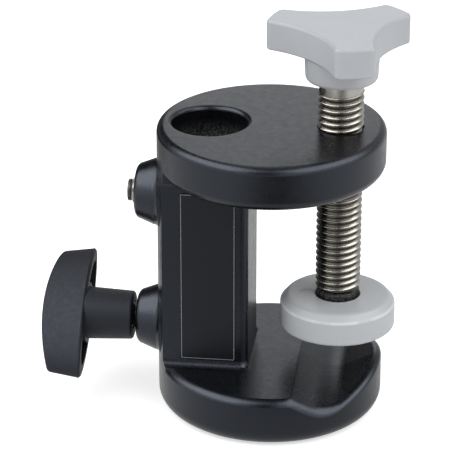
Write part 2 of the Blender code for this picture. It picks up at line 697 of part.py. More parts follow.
def lock_shoe():
    """The brass shoe between the stud and what is put in the receiver."""
    front = RECEIVER_RADIUS - SHOE_REACH
    socket_floor = SHOE_BACK - STUD_TIP_LENGTH
    socket_radius = STUD_TIP_RADIUS + FIT_GAP
    edge = THREAD_CHAMFER
    profile = [(socket_radius, SHOE_BACK), (STUD_RADIUS, SHOE_BACK), (STUD_RADIUS, front + edge)]
    profile += [(STUD_RADIUS - edge, front), (0.0, front)]
    profile += [(0.0, socket_floor), (socket_radius, socket_floor)]
    part(lathe("shoe", profile, SMALL_FACETS, True, LOCK_AXIS), "lock_shoe", BRASS)


def safety_pin():
    """The sprung pin with its collar, the bush that closes the chamber, and the button."""
    collar_radius = SPRING_CHAMBER_RADIUS - FIT_GAP
    tip = RECEIVER_RADIUS - PIN_REACH
    collar_floor = CHAMBER_FLOOR + FIT_GAP
    collar_top = collar_floor + PIN_COLLAR_THICKNESS
    flange = BOSS_FACE_REACH + FIT_GAP
    flange_top = flange + BUSH_FLANGE_THICKNESS
    barrel = flange - BUSH_LENGTH
    button = flange_top + FIT_GAP
    button_top = button + BUTTON_THICKNESS
    edge = BUTTON_EDGE_ROUND
    profile = [(0.0, button_top), (PIN_STEM_RADIUS, button_top), (PIN_STEM_RADIUS, collar_top)]
    profile += [(collar_radius, collar_top), (collar_radius, collar_floor), (PIN_TIP_RADIUS, collar_floor)]
    profile += [(PIN_TIP_RADIUS, tip + edge), (PIN_TIP_RADIUS - edge, tip), (0.0, tip)]
    part(lathe("pin", profile, SMALL_FACETS, parent=SAFETY_AXIS), "safety_pin", STEEL)
    hole = PIN_STEM_RADIUS + FIT_GAP
    profile = [(hole, flange_top), (BUSH_FLANGE_RADIUS, flange_top), (BUSH_FLANGE_RADIUS, flange)]
    profile += [(collar_radius, flange), (collar_radius, barrel), (hole, barrel)]
    part(lathe("bush", profile, SMALL_FACETS, True, SAFETY_AXIS), "button_bush", STEEL)
    profile = [(hole, button_top), *arc((BUTTON_RADIUS - edge, button_top - edge), edge, 90, 0)]
    profile += [(BUTTON_RADIUS, button), (hole, button)]
    part(lathe("button", profile, SMALL_FACETS, True, SAFETY_AXIS), "safety_button", STEEL)
    safety_spring(collar_top + FIT_GAP, barrel - FIT_GAP, collar_radius - SPRING_WIRE_RADIUS)


def safety_spring(low, high, radius):
    """The coil between the pin's collar and the bush, as one wire."""
    curve = bpy.data.curves.new("spring", "CURVE")
    curve.dimensions = "3D"
    curve.bevel_depth = SPRING_WIRE_RADIUS
    curve.bevel_resolution = 1
    curve.use_fill_caps = True
    steps = round(SPRING_TURNS * COIL_STEPS)
    start = low + SPRING_WIRE_RADIUS
    climb = high - low - 2 * SPRING_WIRE_RADIUS
    spline = curve.splines.new("POLY")
    spline.points.add(steps)
    for step, point in enumerate(spline.points):
        angle = 2 * math.pi * SPRING_TURNS * step / steps
        point.co = (radius * math.cos(angle), radius * math.sin(angle), start + climb * step / steps, 1.0)
    coil = bpy.data.objects.new("spring", curve)
    CUTTERS.objects.link(coil)
    coil.parent = SAFETY_AXIS
    part(bake(coil), "safety_spring", STEEL)


def label_plate():
    """The thin label on the column's front face."""
    half_width, half_height, corner = LABEL_WIDTH / 2, LABEL_HEIGHT / 2, LABEL_CORNER_ROUND
    outline = []
    for index, (x, y) in enumerate(((1, -1), (1, 1), (-1, 1), (-1, -1))):
        center = x * (half_width - corner), y * (half_height - corner)
        outline += arc(center, corner, 90 * index - 90, 90 * index)
    label = slab("label", outline, LABEL_GAP, LABEL_GAP + LABEL_THICKNESS, parent=LABEL_PLANE)
    part(label, "label_plate", LABEL_BLACK)


clear_scene()
PARTS = new_collection("screw_clamp")
CUTTERS = new_collection("cutters")

CASTING = material("powder_coated_casting", (0.035, 0.037, 0.042), 0.45, 0.0)
STEEL = material("nickel_plated_steel", (0.62, 0.60, 0.56), 0.25, 1.0)
GREY_PLASTIC = material("grey_plastic", (0.55, 0.57, 0.60), 0.45, 0.0)
PALE_PLASTIC = material("pale_plastic", (0.42, 0.43, 0.45), 0.50, 0.0)
BLACK_PLASTIC = material("black_plastic", (0.030, 0.031, 0.034), 0.55, 0.0)
DARK_NYLON = material("dark_nylon", (0.012, 0.012, 0.013), 0.50, 0.0)
BRASS = material("brass", (0.72, 0.52, 0.22), 0.30, 1.0)
LABEL_BLACK = material("label_black", (0.010, 0.010, 0.011), 0.40, 0.0)

OUTWARD = (0.0, -math.pi / 2, 0.0)
LOCK_AXIS = empty("lock_axis", (RECEIVER_X, 0.0, LOCK_Z), OUTWARD)
SAFETY_AXIS = empty("safety_axis", (RECEIVER_X, 0.0, SAFETY_Z), OUTWARD)
SCREW_AXIS = empty("screw_axis", (SCREW_X, 0.0, 0.0))
KNOB_AXIS = empty("knob_axis", (0.0, 0.0, 0.0), (0.0, 0.0, BAR_ANGLE))
KNOB_AXIS.parent = LOCK_AXIS
FACING_FRONT = (math.pi / 2, 0.0, 0.0)
BAR_PLANE = empty("bar_plane", (0.0, 0.0, 0.0), FACING_FRONT)
BAR_PLANE.parent = KNOB_AXIS
LABEL_CENTER = RECEIVER_X + LABEL_SHIFT, -COLUMN_HALF_WIDTH, LABEL_FOOT_Z + LABEL_HEIGHT / 2
LABEL_PLANE = empty("label_plane", LABEL_CENTER, FACING_FRONT)

clamp_body()
clamp_screw()
screw_handle()
pressure_pad()
pad_fixings()
t_knob()
knob_stud()
lock_shoe()
safety_pin()
label_plate()
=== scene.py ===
import math

import bmesh
import bpy
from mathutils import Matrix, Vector


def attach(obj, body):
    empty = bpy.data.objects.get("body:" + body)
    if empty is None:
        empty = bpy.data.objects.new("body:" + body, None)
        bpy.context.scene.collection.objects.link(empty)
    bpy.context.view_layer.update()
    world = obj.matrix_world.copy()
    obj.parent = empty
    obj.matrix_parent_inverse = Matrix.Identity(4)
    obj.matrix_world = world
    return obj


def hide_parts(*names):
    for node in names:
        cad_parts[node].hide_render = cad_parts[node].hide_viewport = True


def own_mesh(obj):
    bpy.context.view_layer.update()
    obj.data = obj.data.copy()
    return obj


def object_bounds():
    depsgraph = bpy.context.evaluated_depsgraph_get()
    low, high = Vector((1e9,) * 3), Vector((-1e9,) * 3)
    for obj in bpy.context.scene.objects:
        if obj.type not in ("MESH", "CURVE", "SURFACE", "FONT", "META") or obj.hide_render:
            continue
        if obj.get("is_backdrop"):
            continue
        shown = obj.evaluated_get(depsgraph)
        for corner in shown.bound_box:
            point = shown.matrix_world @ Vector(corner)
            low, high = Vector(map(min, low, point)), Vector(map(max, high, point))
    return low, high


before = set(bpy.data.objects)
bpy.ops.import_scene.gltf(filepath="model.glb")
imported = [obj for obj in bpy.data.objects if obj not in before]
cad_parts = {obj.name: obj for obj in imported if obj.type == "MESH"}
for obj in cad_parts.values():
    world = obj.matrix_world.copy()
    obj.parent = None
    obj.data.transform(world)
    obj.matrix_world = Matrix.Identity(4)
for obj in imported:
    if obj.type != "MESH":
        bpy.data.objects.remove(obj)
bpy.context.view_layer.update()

# The studio: a camera at the height and distance of a product photograph, a pale floor that
# stays almost free of shadow, a bright surround and two soft boxes.
MM = 0.001
CAMERA_AZIMUTH = math.radians(6.94)
CAMERA_ELEVATION = math.radians(24.0)
CAMERA_DISTANCE = 560.77
CAMERA_TARGET = (-10.184, 0.0, 41.656)
FRAME_PIXELS = 450
FOCAL_PIXELS = 2538.7
SENSOR = 36.0
NEAR_CLIP = 0.01

lens = bpy.data.cameras.new("photo_camera")
lens.sensor_width = SENSOR
lens.lens = FOCAL_PIXELS * SENSOR / FRAME_PIXELS
lens.clip_start = NEAR_CLIP
camera = bpy.data.objects.new("photo_camera", lens)
bpy.context.scene.collection.objects.link(camera)
level = math.cos(CAMERA_ELEVATION)
toward_camera = Vector((
    level * math.sin(CAMERA_AZIMUTH),
    -level * math.cos(CAMERA_AZIMUTH),
    math.sin(CAMERA_ELEVATION),
))
camera.location = (Vector(CAMERA_TARGET) + toward_camera * CAMERA_DISTANCE) * MM
camera.rotation_euler = toward_camera.to_track_quat("Z", "Y").to_euler()
bpy.context.scene.camera = camera
bpy.context.scene.view_settings.view_transform = "Standard"


def node(tree, kind, place, **values):
    """A shader node at a place in the editor, with sockets set by name."""
    made = tree.nodes.new(kind)
    made.location = place
    for name, value in values.items():
        if hasattr(made, name):
            setattr(made, name, value)
        else:
            made.inputs[name.replace("_", " ").title()].default_value = value
    return made


world = bpy.data.worlds.new("studio")
bpy.context.scene.world = world
world.use_nodes = True
tree = world.node_tree
tree.nodes.clear()
AMBIENT = 0.42
SHEET = 0.98
SHEET_LEFT_EDGE = (-0.28, -0.16)
SHEET_FRONT_EDGE = (0.05, 0.50)
SHEET_FADE = (-0.10, 0.15)
SHEET_FADED = 0.5
HORIZON = (0.10, 0.30)
HORIZON_GLOW = (0.22, 0.03)
SIDE = 1.1
SIDE_EDGE = (0.10, 0.32)
SIDE_BACK_EDGE = (0.10, 0.45)
DARK = 0.04
direction = node(tree, "ShaderNodeTexCoord", (-1400, 0))
axes = node(tree, "ShaderNodeSeparateXYZ", (-1200, 0))
tree.links.new(direction.outputs["Generated"], axes.inputs[0])


def ramp(tree, source, place, start, end, low, high):
    """A smooth change from one value to another along a coordinate."""
    made = node(tree, "ShaderNodeMapRange", place, interpolation_type="SMOOTHSTEP")
    made.inputs["From Min"].default_value = start
    made.inputs["From Max"].default_value = end
    made.inputs["To Min"].default_value = low
    made.inputs["To Max"].default_value = high
    tree.links.new(source, made.inputs["Value"])
    return made.outputs["Result"]


def combine(tree, kind, first, second, place):
    """Two values put together by a maths node."""
    made = node(tree, "ShaderNodeMath", place, operation=kind)
    tree.links.new(first, made.inputs[0])
    tree.links.new(second, made.inputs[1])
    return made.outputs["Value"]


def seen_directly(tree, path, place):
    """1 where the camera looks straight at a thing or through something clear, and else 0."""
    straight, clear = path.outputs["Is Camera Ray"], path.outputs["Is Transmission Ray"]
    return combine(tree, "MAXIMUM", straight, clear, place)


sheet = combine(
    tree, "MAXIMUM",
    ramp(tree, axes.outputs["X"], (-1000, 700), *SHEET_LEFT_EDGE, 0.0, 1.0),
    ramp(tree, axes.outputs["Z"], (-1000, 400), *HORIZON, *HORIZON_GLOW), (-800, 500),
)
sheet = combine(
    tree, "MULTIPLY", sheet,
    ramp(tree, axes.outputs["X"], (-1000, 100), *SHEET_FADE, 1.0, SHEET_FADED), (-700, 300),
)
sheet = combine(
    tree, "MULTIPLY", sheet,
    ramp(tree, axes.outputs["Y"], (-1000, -200), *SHEET_FRONT_EDGE, 0.0, SHEET), (-600, 200),
)
across = node(tree, "ShaderNodeMath", (-1000, -500), operation="ABSOLUTE")
tree.links.new(axes.outputs["X"], across.inputs[0])
sides = combine(
    tree, "MULTIPLY",
    ramp(tree, across.outputs["Value"], (-800, -400), *SIDE_EDGE, DARK, SIDE),
    ramp(tree, axes.outputs["Y"], (-800, -700), *SIDE_BACK_EDGE, 1.0, 0.0), (-600, -500),
)
bright = combine(tree, "MAXIMUM", sheet, sides, (-200, 0))
path = node(tree, "ShaderNodeLightPath", (-400, 500))
mirrored = node(tree, "ShaderNodeMix", (0, 300), data_type="FLOAT")
mirrored.inputs["A"].default_value = AMBIENT
tree.links.new(path.outputs["Is Glossy Ray"], mirrored.inputs["Factor"])
tree.links.new(bright, mirrored.inputs["B"])
strength = node(tree, "ShaderNodeMix", (200, 400), data_type="FLOAT")
strength.inputs["B"].default_value = 1.0
tree.links.new(seen_directly(tree, path, (0, 600)), strength.inputs["Factor"])
tree.links.new(mirrored.outputs["Result"], strength.inputs["A"])
glow = node(tree, "ShaderNodeBackground", (0, 0))
glow.inputs["Color"].default_value = (1.0, 1.0, 1.0, 1.0)
tree.links.new(strength.outputs["Result"], glow.inputs["Strength"])
out = node(tree, "ShaderNodeOutputWorld", (200, 0))
tree.links.new(glow.outputs[0], out.inputs["Surface"])

FLOOR_SIZE = 6.0
FLOOR_DROP = 0.00005
FLOOR_PAPER = (0.85, 0.85, 0.85, 1.0)
FLOOR_GLOW = 0.55
FLOOR_MIRROR = 0.80
SHADE_CENTER = (0.035, -0.17, 0.0)
SHADE_SIZE = (0.13, 0.23, 1.0)
SHADE_SPAN = (0.0, 0.9)
FRONT_SHADE = 0.15
CORNER_SHADE = 0.06
CORNER_X = (-0.16, -0.04)
CORNER_Y = (0.03, 0.15)
bpy.ops.object.select_all(action="DESELECT")
bpy.ops.mesh.primitive_plane_add(size=FLOOR_SIZE, location=(0.0, 0.0, -FLOOR_DROP))
floor = bpy.context.object
floor.name = "floor"
floor_finish = bpy.data.materials.new("studio_floor")
floor_finish.use_nodes = True
tree = floor_finish.node_tree
tree.nodes.clear()
paper = node(tree, "ShaderNodeBsdfDiffuse", (-400, 0))
paper.inputs["Color"].default_value = FLOOR_PAPER
glow = node(tree, "ShaderNodeEmission", (-400, -200))
glow.inputs["Strength"].default_value = FLOOR_GLOW
lit = node(tree, "ShaderNodeAddShader", (-200, -100))
tree.links.new(paper.outputs[0], lit.inputs[0])
tree.links.new(glow.outputs[0], lit.inputs[1])
where = node(tree, "ShaderNodeTexCoord", (-1200, -400))
spot = node(tree, "ShaderNodeMapping", (-1000, -400), vector_type="TEXTURE")
spot.inputs["Location"].default_value = SHADE_CENTER
spot.inputs["Scale"].default_value = SHADE_SIZE
tree.links.new(where.outputs["Object"], spot.inputs["Vector"])
shade = node(tree, "ShaderNodeTexGradient", (-800, -400), gradient_type="SPHERICAL")
tree.links.new(spot.outputs["Vector"], shade.inputs["Vector"])
mirror = node(tree, "ShaderNodeEmission", (-400, -400))
front = ramp(
    tree, shade.outputs["Fac"], (-600, -400), *SHADE_SPAN, FLOOR_MIRROR, FLOOR_MIRROR * FRONT_SHADE,
)
axes = node(tree, "ShaderNodeSeparateXYZ", (-1000, -700))
tree.links.new(where.outputs["Object"], axes.inputs[0])
corner = combine(
    tree, "MAXIMUM",
    ramp(tree, axes.outputs["X"], (-800, -700), *CORNER_X, CORNER_SHADE, 1.0),
    ramp(tree, axes.outputs["Y"], (-800, -1000), *CORNER_Y, 1.0, CORNER_SHADE), (-600, -700),
)
level = combine(tree, "MULTIPLY", front, corner, (-500, -500))
tree.links.new(level, mirror.inputs["Strength"])
path = node(tree, "ShaderNodeLightPath", (-600, 300))
seen = node(tree, "ShaderNodeMixShader", (0, 100))
tree.links.new(seen_directly(tree, path, (-200, 400)), seen.inputs[0])
tree.links.new(paper.outputs[0], seen.inputs[1])
tree.links.new(lit.outputs[0], seen.inputs[2])
choice = node(tree, "ShaderNodeMixShader", (100, 0))
tree.links.new(path.outputs["Is Glossy Ray"], choice.inputs[0])
tree.links.new(seen.outputs[0], choice.inputs[1])
tree.links.new(mirror.outputs[0], choice.inputs[2])
out = node(tree, "ShaderNodeOutputMaterial", (200, 0))
tree.links.new(choice.outputs[0], out.inputs["Surface"])
floor.data.materials.append(floor_finish)
floor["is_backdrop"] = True


BOX_SIZE = (1.30, 0.80)
BOX_AIM = (0.0, 0.0, 0.04)


def soft_box(name, watts, place):
    """A soft box that points at the clamp."""
    lamp = bpy.data.lights.new(name, "AREA")
    lamp.shape = "RECTANGLE"
    lamp.size, lamp.size_y = BOX_SIZE
    lamp.energy = watts
    box = bpy.data.objects.new(name, lamp)
    box.location = place
    box.rotation_euler = (Vector(place) - Vector(BOX_AIM)).to_track_quat("Z", "Y").to_euler()
    bpy.context.scene.collection.objects.link(box)


soft_box("key_box", 7.0, (-0.589, -0.238, 0.746))
soft_box("fill_box", 5.8, (0.630, -0.181, 0.71))

# The cast frame: one aluminium die casting with a round plate, a square column bored for a
# stud and a round jaw with a saddle groove. It is powder coated in satin blue-black.
WELD = 1e-7
OVERCUT = 2.0
SEAT = 0.01
CASTING_STEPS = 192
RADIUS = 25.0
HEIGHT = 66.4
PLATE_MIDDLE = 59.6
CEILING = 55.6
FLOOR = 11.8
TOP_ROUND = 1.7
UNDER_ROUND = 3.5
BASE_ROUND = 3.7
RIM_ROUND = 2.0
GROOVE_RIM_GAIN = 0.15
GAIN_START = 4.0
GAIN_RUN = 5.0
OUT = 27.0
COLUMN_HALF = 10.0
COLUMN_FACE = -4.0
COLUMN_CORNER = 1.8
FILLET = 1.2
FOOT_FILLET = 1.7
FACE_SHARE = 0.2
GROOVE_START = 6.9
GROOVE_BOTTOM = (14.7, 15.5)
GROOVE_ROUND = 7.0
GROOVE_LEFT = 28.7
GROOVE_RIGHT = 27.0
START_ROUND = 1.5
FLOOR_STEP = 3.0
FLOOR_POINTS = 11
SLOPE_STEPS = 8
FLOOR_DRAFT = 0.020
TOP_DRAFT = 0.020
GROOVE_DRAFT = 0.0033
RECEIVER_X = -13.5
RECEIVER_RADIUS = 8.25
RECEIVER_MOUTH = 1.0
LOCK_Z = 18.4
SAFETY_Z = 49.1
SCREW_X = 15.0


def arc(center, radius, start, end, steps):
    """Points on an arc, from one angle in degrees to another."""
    points = []
    for step in range(steps + 1):
        angle = math.radians(start + (end - start) * step / steps)
        points.append((center[0] + radius * math.cos(angle), center[1] + radius * math.sin(angle)))
    return points


def outline(name, points, filled=False):
    """A new piece: a ring of vertices drawn onto points given in millimetres."""
    bpy.ops.object.select_all(action="DESELECT")
    fill = "NGON" if filled else "NOTHING"
    bpy.ops.mesh.primitive_circle_add(vertices=len(points), radius=MM, fill_type=fill)
    piece = bpy.context.object
    piece.name = name
    piece.data.name = name
    for vertex, point in zip(piece.data.vertices, points):
        vertex.co = Vector(point) * MM
    return piece


def select(piece, kind, test):
    """Edit mode on one piece, with only the vertices, edges or faces that pass the test selected."""
    bpy.ops.object.select_all(action="DESELECT")
    bpy.context.view_layer.objects.active = piece
    piece.select_set(True)
    bpy.ops.object.mode_set(mode="EDIT")
    bpy.ops.mesh.select_mode(type=kind)
    bpy.ops.mesh.select_all(action="DESELECT")
    mesh = bmesh.from_edit_mesh(piece.data)
    mesh.verts.index_update()
    items = {"VERT": mesh.verts, "EDGE": mesh.edges, "FACE": mesh.faces}[kind]
    for item in items:
        if test(item):
            item.select = True
    mesh.select_flush_mode()
    bmesh.update_edit_mesh(piece.data)


def tidy_mesh():
    """Weld the piece in edit mode, turn its faces outwards and leave edit mode."""
    bpy.ops.mesh.select_all(action="SELECT")
    bpy.ops.mesh.remove_doubles(threshold=WELD)
    bpy.ops.mesh.normals_make_consistent(inside=False)
    bpy.ops.object.mode_set(mode="OBJECT")


def lathe(name, profile, steps, foot=(0.0, 0.0, 0.0), axis=(0.0, 0.0, 1.0)):
    """A profile of (radius, height) points spun about an axis. One that ends on the axis is solid."""
    axis = Vector(axis)
    side = Vector((0.0, 1.0, 0.0)) if abs(axis.x) > 0.5 else Vector((1.0, 0.0, 0.0))
    piece = outline(name, [Vector(foot) + side * radius + axis * height for radius, height in profile])
    ends = {0, len(profile) - 1}
    solid = profile[0][0] == 0.0 and profile[-1][0] == 0.0
    select(piece, "EDGE", lambda edge: solid and ends == {vertex.index for vertex in edge.verts})
    if solid:
        bpy.ops.mesh.delete(type="EDGE_FACE")
    bpy.ops.mesh.select_all(action="SELECT")
    bpy.ops.mesh.spin(steps=steps, angle=2 * math.pi, center=Vector(foot) * MM, axis=axis)
    tidy_mesh()
    return piece


def loft(name, rings):
    """A filled ring extruded from one ring of points to the next."""
    piece = outline(name, rings[0], True)
    select(piece, "FACE", lambda face: True)
    for last, ring in zip(rings, rings[1:]):
        bpy.ops.mesh.extrude_region_move(TRANSFORM_OT_translate={"value": (0.0, 0.0, 0.0)})
        mesh = bmesh.from_edit_mesh(piece.data)
        before = [Vector(point) * MM for point in last]
        for vertex in mesh.verts:
            if vertex.select:
                nearest = min(range(len(last)), key=lambda i: (before[i] - vertex.co).length_squared)
                vertex.co = Vector(ring[nearest]) * MM
        bmesh.update_edit_mesh(piece.data)
    tidy_mesh()
    return piece


def rod(radius, low, high):
    """The profile of a plain round rod."""
    return [(0.0, high), (radius, high), (radius, low), (0.0, low)]


def carve(piece, tool, operation="DIFFERENCE"):
    """Join, cut or intersect a piece with a tool, which is used up."""
    bpy.ops.object.select_all(action="DESELECT")
    bpy.context.view_layer.objects.active = piece
    change = piece.modifiers.new("carve", "BOOLEAN")
    change.operation = operation
    change.object = tool
    change.solver = "EXACT"
    bpy.ops.object.modifier_apply(modifier=change.name)
    bpy.data.objects.remove(tool, do_unlink=True)


def smooth(piece, degrees):
    """Smooth shading up to an angle, with flat faces kept flat."""
    bpy.ops.object.select_all(action="DESELECT")
    bpy.context.view_layer.objects.active = piece
    piece.select_set(True)
    bpy.ops.object.shade_smooth_by_angle(angle=math.radians(degrees))
    even = piece.modifiers.new("even", "WEIGHTED_NORMAL")
    even.keep_sharp = True
    bpy.ops.object.modifier_apply(modifier=even.name)


def floor_draft(x, y):
    """How far the jaw's floor has fallen at a place, from its height on the middle plane."""
    return (FLOOR_DRAFT + GROOVE_DRAFT * max(0.0, x - GROOVE_START)) * max(0.0, -y)


def jaw_line():
    """The jaw's floor and groove on the middle plane, as (x, z) points."""
    points = [(-OUT + FLOOR_STEP * step, FLOOR) for step in range(FLOOR_POINTS)]
    corner = START_ROUND * math.tan(math.radians(GROOVE_LEFT / 2))
    points += arc((GROOVE_START - corner, FLOOR - START_ROUND), START_ROUND, 90, 90 - GROOVE_LEFT, 4)
    points += arc(GROOVE_BOTTOM, GROOVE_ROUND, 270 - GROOVE_LEFT, 270 + GROOVE_RIGHT, 14)
    last_x, last_z = points[-1]
    run = (OUT - last_x) / SLOPE_STEPS
    for step in range(1, SLOPE_STEPS + 1):
        points.append((last_x + run * step, last_z + run * step * math.tan(math.radians(GROOVE_RIGHT))))
    return points


def jaw_height(x, y):
    """The height of the jaw's floor or groove at a place."""
    line = jaw_line()
    for (x0, z0), (x1, z1) in zip(line, line[1:]):
        if x0 <= x <= x1:
            return z0 + (z1 - z0) * (x - x0) / (x1 - x0) - floor_draft(x, y)
    return line[-1][1] - floor_draft(x, y)


def drop_top(piece):
    """Let the upper vertices of a piece fall towards the front, as the plate's cast top does."""
    for vertex in piece.data.vertices:
        if vertex.co.z > PLATE_MIDDLE * MM:
            vertex.co.z -= TOP_DRAFT * max(0.0, -vertex.co.y)
    return piece


profile = [(0.0, HEIGHT), *arc((RADIUS - TOP_ROUND, HEIGHT - TOP_ROUND), TOP_ROUND, 90, 0, 8)]
profile += [*arc((RADIUS - BASE_ROUND, BASE_ROUND), BASE_ROUND, 0, -90, 12), (0.0, 0.0)]
casting = drop_top(lathe("cast_frame", profile, CASTING_STEPS))

section = [*jaw_line(), (OUT, CEILING), (-OUT, CEILING)]
STATION = 2.25
STATION_COUNT = 12
MIDDLE = 0.2
stations = [-OUT + STATION * step for step in range(STATION_COUNT)] + [-MIDDLE, 0.0, MIDDLE]
stations += [STATION * step for step in range(1, STATION_COUNT + 1)]
throat = loft("throat", [
    [(x, y, z - floor_draft(x, y) if z < CEILING else z) for x, z in section] for y in stations
])

ENTRY = 12
LEAVE = 80
RIM_SINK = 0.02
RIM_CLEAR = 0.03
RIM_LEAD = 0.6


def rim(radius, z, way, steps):
    """The lead and the bend of a rounded rim that rises (1) or falls (-1) from a height."""
    entry, leave = math.radians(ENTRY), math.radians(LEAVE)
    center = RADIUS + RIM_CLEAR - radius * math.sin(leave), z + way * (RIM_SINK + radius * math.cos(entry))
    bend = arc(center, radius, way * (ENTRY - 90), way * (LEAVE - 90), steps)
    return (bend[0][0] - RIM_LEAD, bend[0][1] - way * RIM_LEAD * math.tan(entry)), bend


lead, bend = rim(UNDER_ROUND, CEILING, 1, 12)
profile = [(OUT, CEILING - OVERCUT), (lead[0], CEILING - OVERCUT), lead, *bend, (OUT, bend[-1][1])]
carve(throat, lathe("plate_rim", profile, CASTING_STEPS), "UNION")

lead, bend = rim(RIM_ROUND, 0.0, -1, 8)
profile = [(OUT, bend[-1][1]), *reversed(bend), lead, (lead[0], OVERCUT), (OUT, OVERCUT)]
jaw_rim = lathe("jaw_rim", profile, CASTING_STEPS)
for vertex in jaw_rim.data.vertices:
    share = min(1.0, max(0.0, (vertex.co.x / MM - GAIN_START) / GAIN_RUN))
    grow = 1.0 + GROOVE_RIM_GAIN * share * share * (3.0 - 2.0 * share)
    reach = math.hypot(vertex.co.x, vertex.co.y) / MM
    if reach < RADIUS:
        pull = (RADIUS - (RADIUS - reach) * grow) / reach
        vertex.co.x *= pull
        vertex.co.y *= pull
    if vertex.co.z < MM:
        vertex.co.z *= grow
    vertex.co.z += jaw_height(vertex.co.x / MM, vertex.co.y / MM) * MM
carve(throat, jaw_rim, "UNION")


def column_ring(grow, rise, top):
    """The column's outline with its foot or head spread by a fillet."""
    half = COLUMN_HALF + grow
    face = COLUMN_FACE + grow * FACE_SHARE
    center = face - COLUMN_CORNER
    points = [(-OUT - OVERCUT, -half)]
    points += arc((center, COLUMN_CORNER - half), COLUMN_CORNER, -90, 0, 8)
    points.append((face, 0.0))
    points += arc((center, half - COLUMN_CORNER), COLUMN_CORNER, 0, 90, 8)
    points.append((-OUT - OVERCUT, half))
    if top:
        return [(x, y, CEILING + SEAT - rise) for x, y in points]
    return [(x, y, FLOOR - SEAT - floor_draft(x, y) + rise) for x, y in points]


bend = arc((FOOT_FILLET, FOOT_FILLET), FOOT_FILLET, 270, 180, 8)
rings = [column_ring(FOOT_FILLET, -OVERCUT, False)]
rings += [column_ring(grow, rise, False) for grow, rise in bend]
bend = arc((FILLET, FILLET), FILLET, 270, 180, 8)
rings += [column_ring(grow, rise, True) for grow, rise in reversed(bend)]
rings.append(column_ring(FILLET, -UNDER_ROUND - OVERCUT, True))
carve(throat, loft("column", rings))
carve(casting, throat)

FACE_REACH = 16.3
BOSS_ROUND = 1.6
BOSS_FACE = 4.7
BOSS_FOOT = 9.0
BOSS_FOOT_REACH = 12.1
profile = [(0.0, FACE_REACH), *arc((BOSS_FACE, FACE_REACH - BOSS_ROUND), BOSS_ROUND, 90, 12, 8)]
profile += arc((BOSS_FOOT, BOSS_FOOT_REACH), BOSS_ROUND, 180, 270, 8)
profile += [(BOSS_FOOT, RECEIVER_RADIUS), (0.0, RECEIVER_RADIUS)]
for name, z in (("lock_boss", LOCK_Z), ("safety_boss", SAFETY_Z)):
    carve(casting, lathe(name, profile, 96, (RECEIVER_X, 0.0, z), (-1.0, 0.0, 0.0)), "UNION")

RECEIVER_FLARE = 0.05
wide = RECEIVER_RADIUS + RECEIVER_MOUTH
profile = [(0.0, HEIGHT + OVERCUT), (wide + RECEIVER_FLARE, HEIGHT + OVERCUT)]
profile += arc((wide, HEIGHT - RECEIVER_MOUTH), RECEIVER_MOUTH, 88, 180, 8)
profile += arc((wide, RECEIVER_MOUTH), RECEIVER_MOUTH, 180, 272, 8)
profile += [(wide + RECEIVER_FLARE, -OVERCUT), (0.0, -OVERCUT)]
carve(casting, drop_top(lathe("receiver", profile, 128, (RECEIVER_X, 0.0, 0.0))))

HOLE_RADIUS = 5.05
HOLE_MOUTH = 0.10
HOLE_FLARE = 0.02
wide = HOLE_RADIUS + HOLE_MOUTH
profile = [(0.0, HEIGHT + OVERCUT), (wide + HOLE_FLARE, HEIGHT + OVERCUT)]
profile += arc((wide, HEIGHT - HOLE_MOUTH), HOLE_MOUTH, 85, 180, 4)
profile += arc((wide, CEILING + HOLE_MOUTH), HOLE_MOUTH, 180, 275, 4)
profile += [(wide + HOLE_FLARE, CEILING - OVERCUT), (0.0, CEILING - OVERCUT)]
carve(casting, drop_top(lathe("screw_hole", profile, 96, (SCREW_X, 0.0, 0.0))))

STUD_HOLE = 3.3
CHAMBER = 2.6
CHAMBER_FLOOR = 10.65
PIN_GUIDE = 1.8
boss_end = FACE_REACH + OVERCUT
for name, radius, low, z in (
    ("stud_hole", STUD_HOLE, 0.0, LOCK_Z),
    ("spring_chamber", CHAMBER, CHAMBER_FLOOR, SAFETY_Z),
    ("pin_guide", PIN_GUIDE, 0.0, SAFETY_Z),
):
    carve(casting, lathe(name, rod(radius, low, boss_end), 48, (RECEIVER_X, 0.0, z), (-1.0, 0.0, 0.0)))
smooth(casting, 32)


def finish(name, color, roughness, metallic=0.0):
    """A Principled material, its shader and its Object coordinates."""
    made = bpy.data.materials.new(name)
    made.use_nodes = True
    tree = made.node_tree
    shader = tree.nodes["Principled BSDF"]
    shader.inputs["Base Color"].default_value = (*color, 1.0)
    shader.inputs["Roughness"].default_value = roughness
    shader.inputs["Metallic"].default_value = metallic
    place = node(tree, "ShaderNodeTexCoord", (-1400, 0))
    return made, tree, shader, place.outputs["Object"]


def noise(tree, where, place, scale, detail, roughness=0.5):
    """Noise of a given grain, in features per metre."""
    made = node(tree, "ShaderNodeTexNoise", place)
    made.inputs["Scale"].default_value = scale
    made.inputs["Detail"].default_value = detail
    made.inputs["Roughness"].default_value = roughness
    tree.links.new(where, made.inputs["Vector"])
    return made.outputs["Fac"]


NOISE_SPAN = (0.3, 0.7)


def spread(tree, value, place, low, high, socket):
    """Noise stretched between two values and put on a socket."""
    made = node(tree, "ShaderNodeMapRange", place)
    made.inputs["From Min"].default_value = NOISE_SPAN[0]
    made.inputs["From Max"].default_value = NOISE_SPAN[1]
    made.inputs["To Min"].default_value = low
    made.inputs["To Max"].default_value = high
    tree.links.new(value, made.inputs["Value"])
    tree.links.new(made.outputs["Result"], socket)


def shades(tree, value, place, dark, light):
    """A colour that drifts between two shades with a noise."""
    made = node(tree, "ShaderNodeMix", place, data_type="RGBA")
    made.inputs["A"].default_value = (*dark, 1.0)
    made.inputs["B"].default_value = (*light, 1.0)
    tree.links.new(value, made.inputs["Factor"])
    return made.outputs["Result"]


def tint(tree, value, place, dark, light, socket):
    """Two drifting shades put on a socket."""
    tree.links.new(shades(tree, value, place, dark, light), socket)


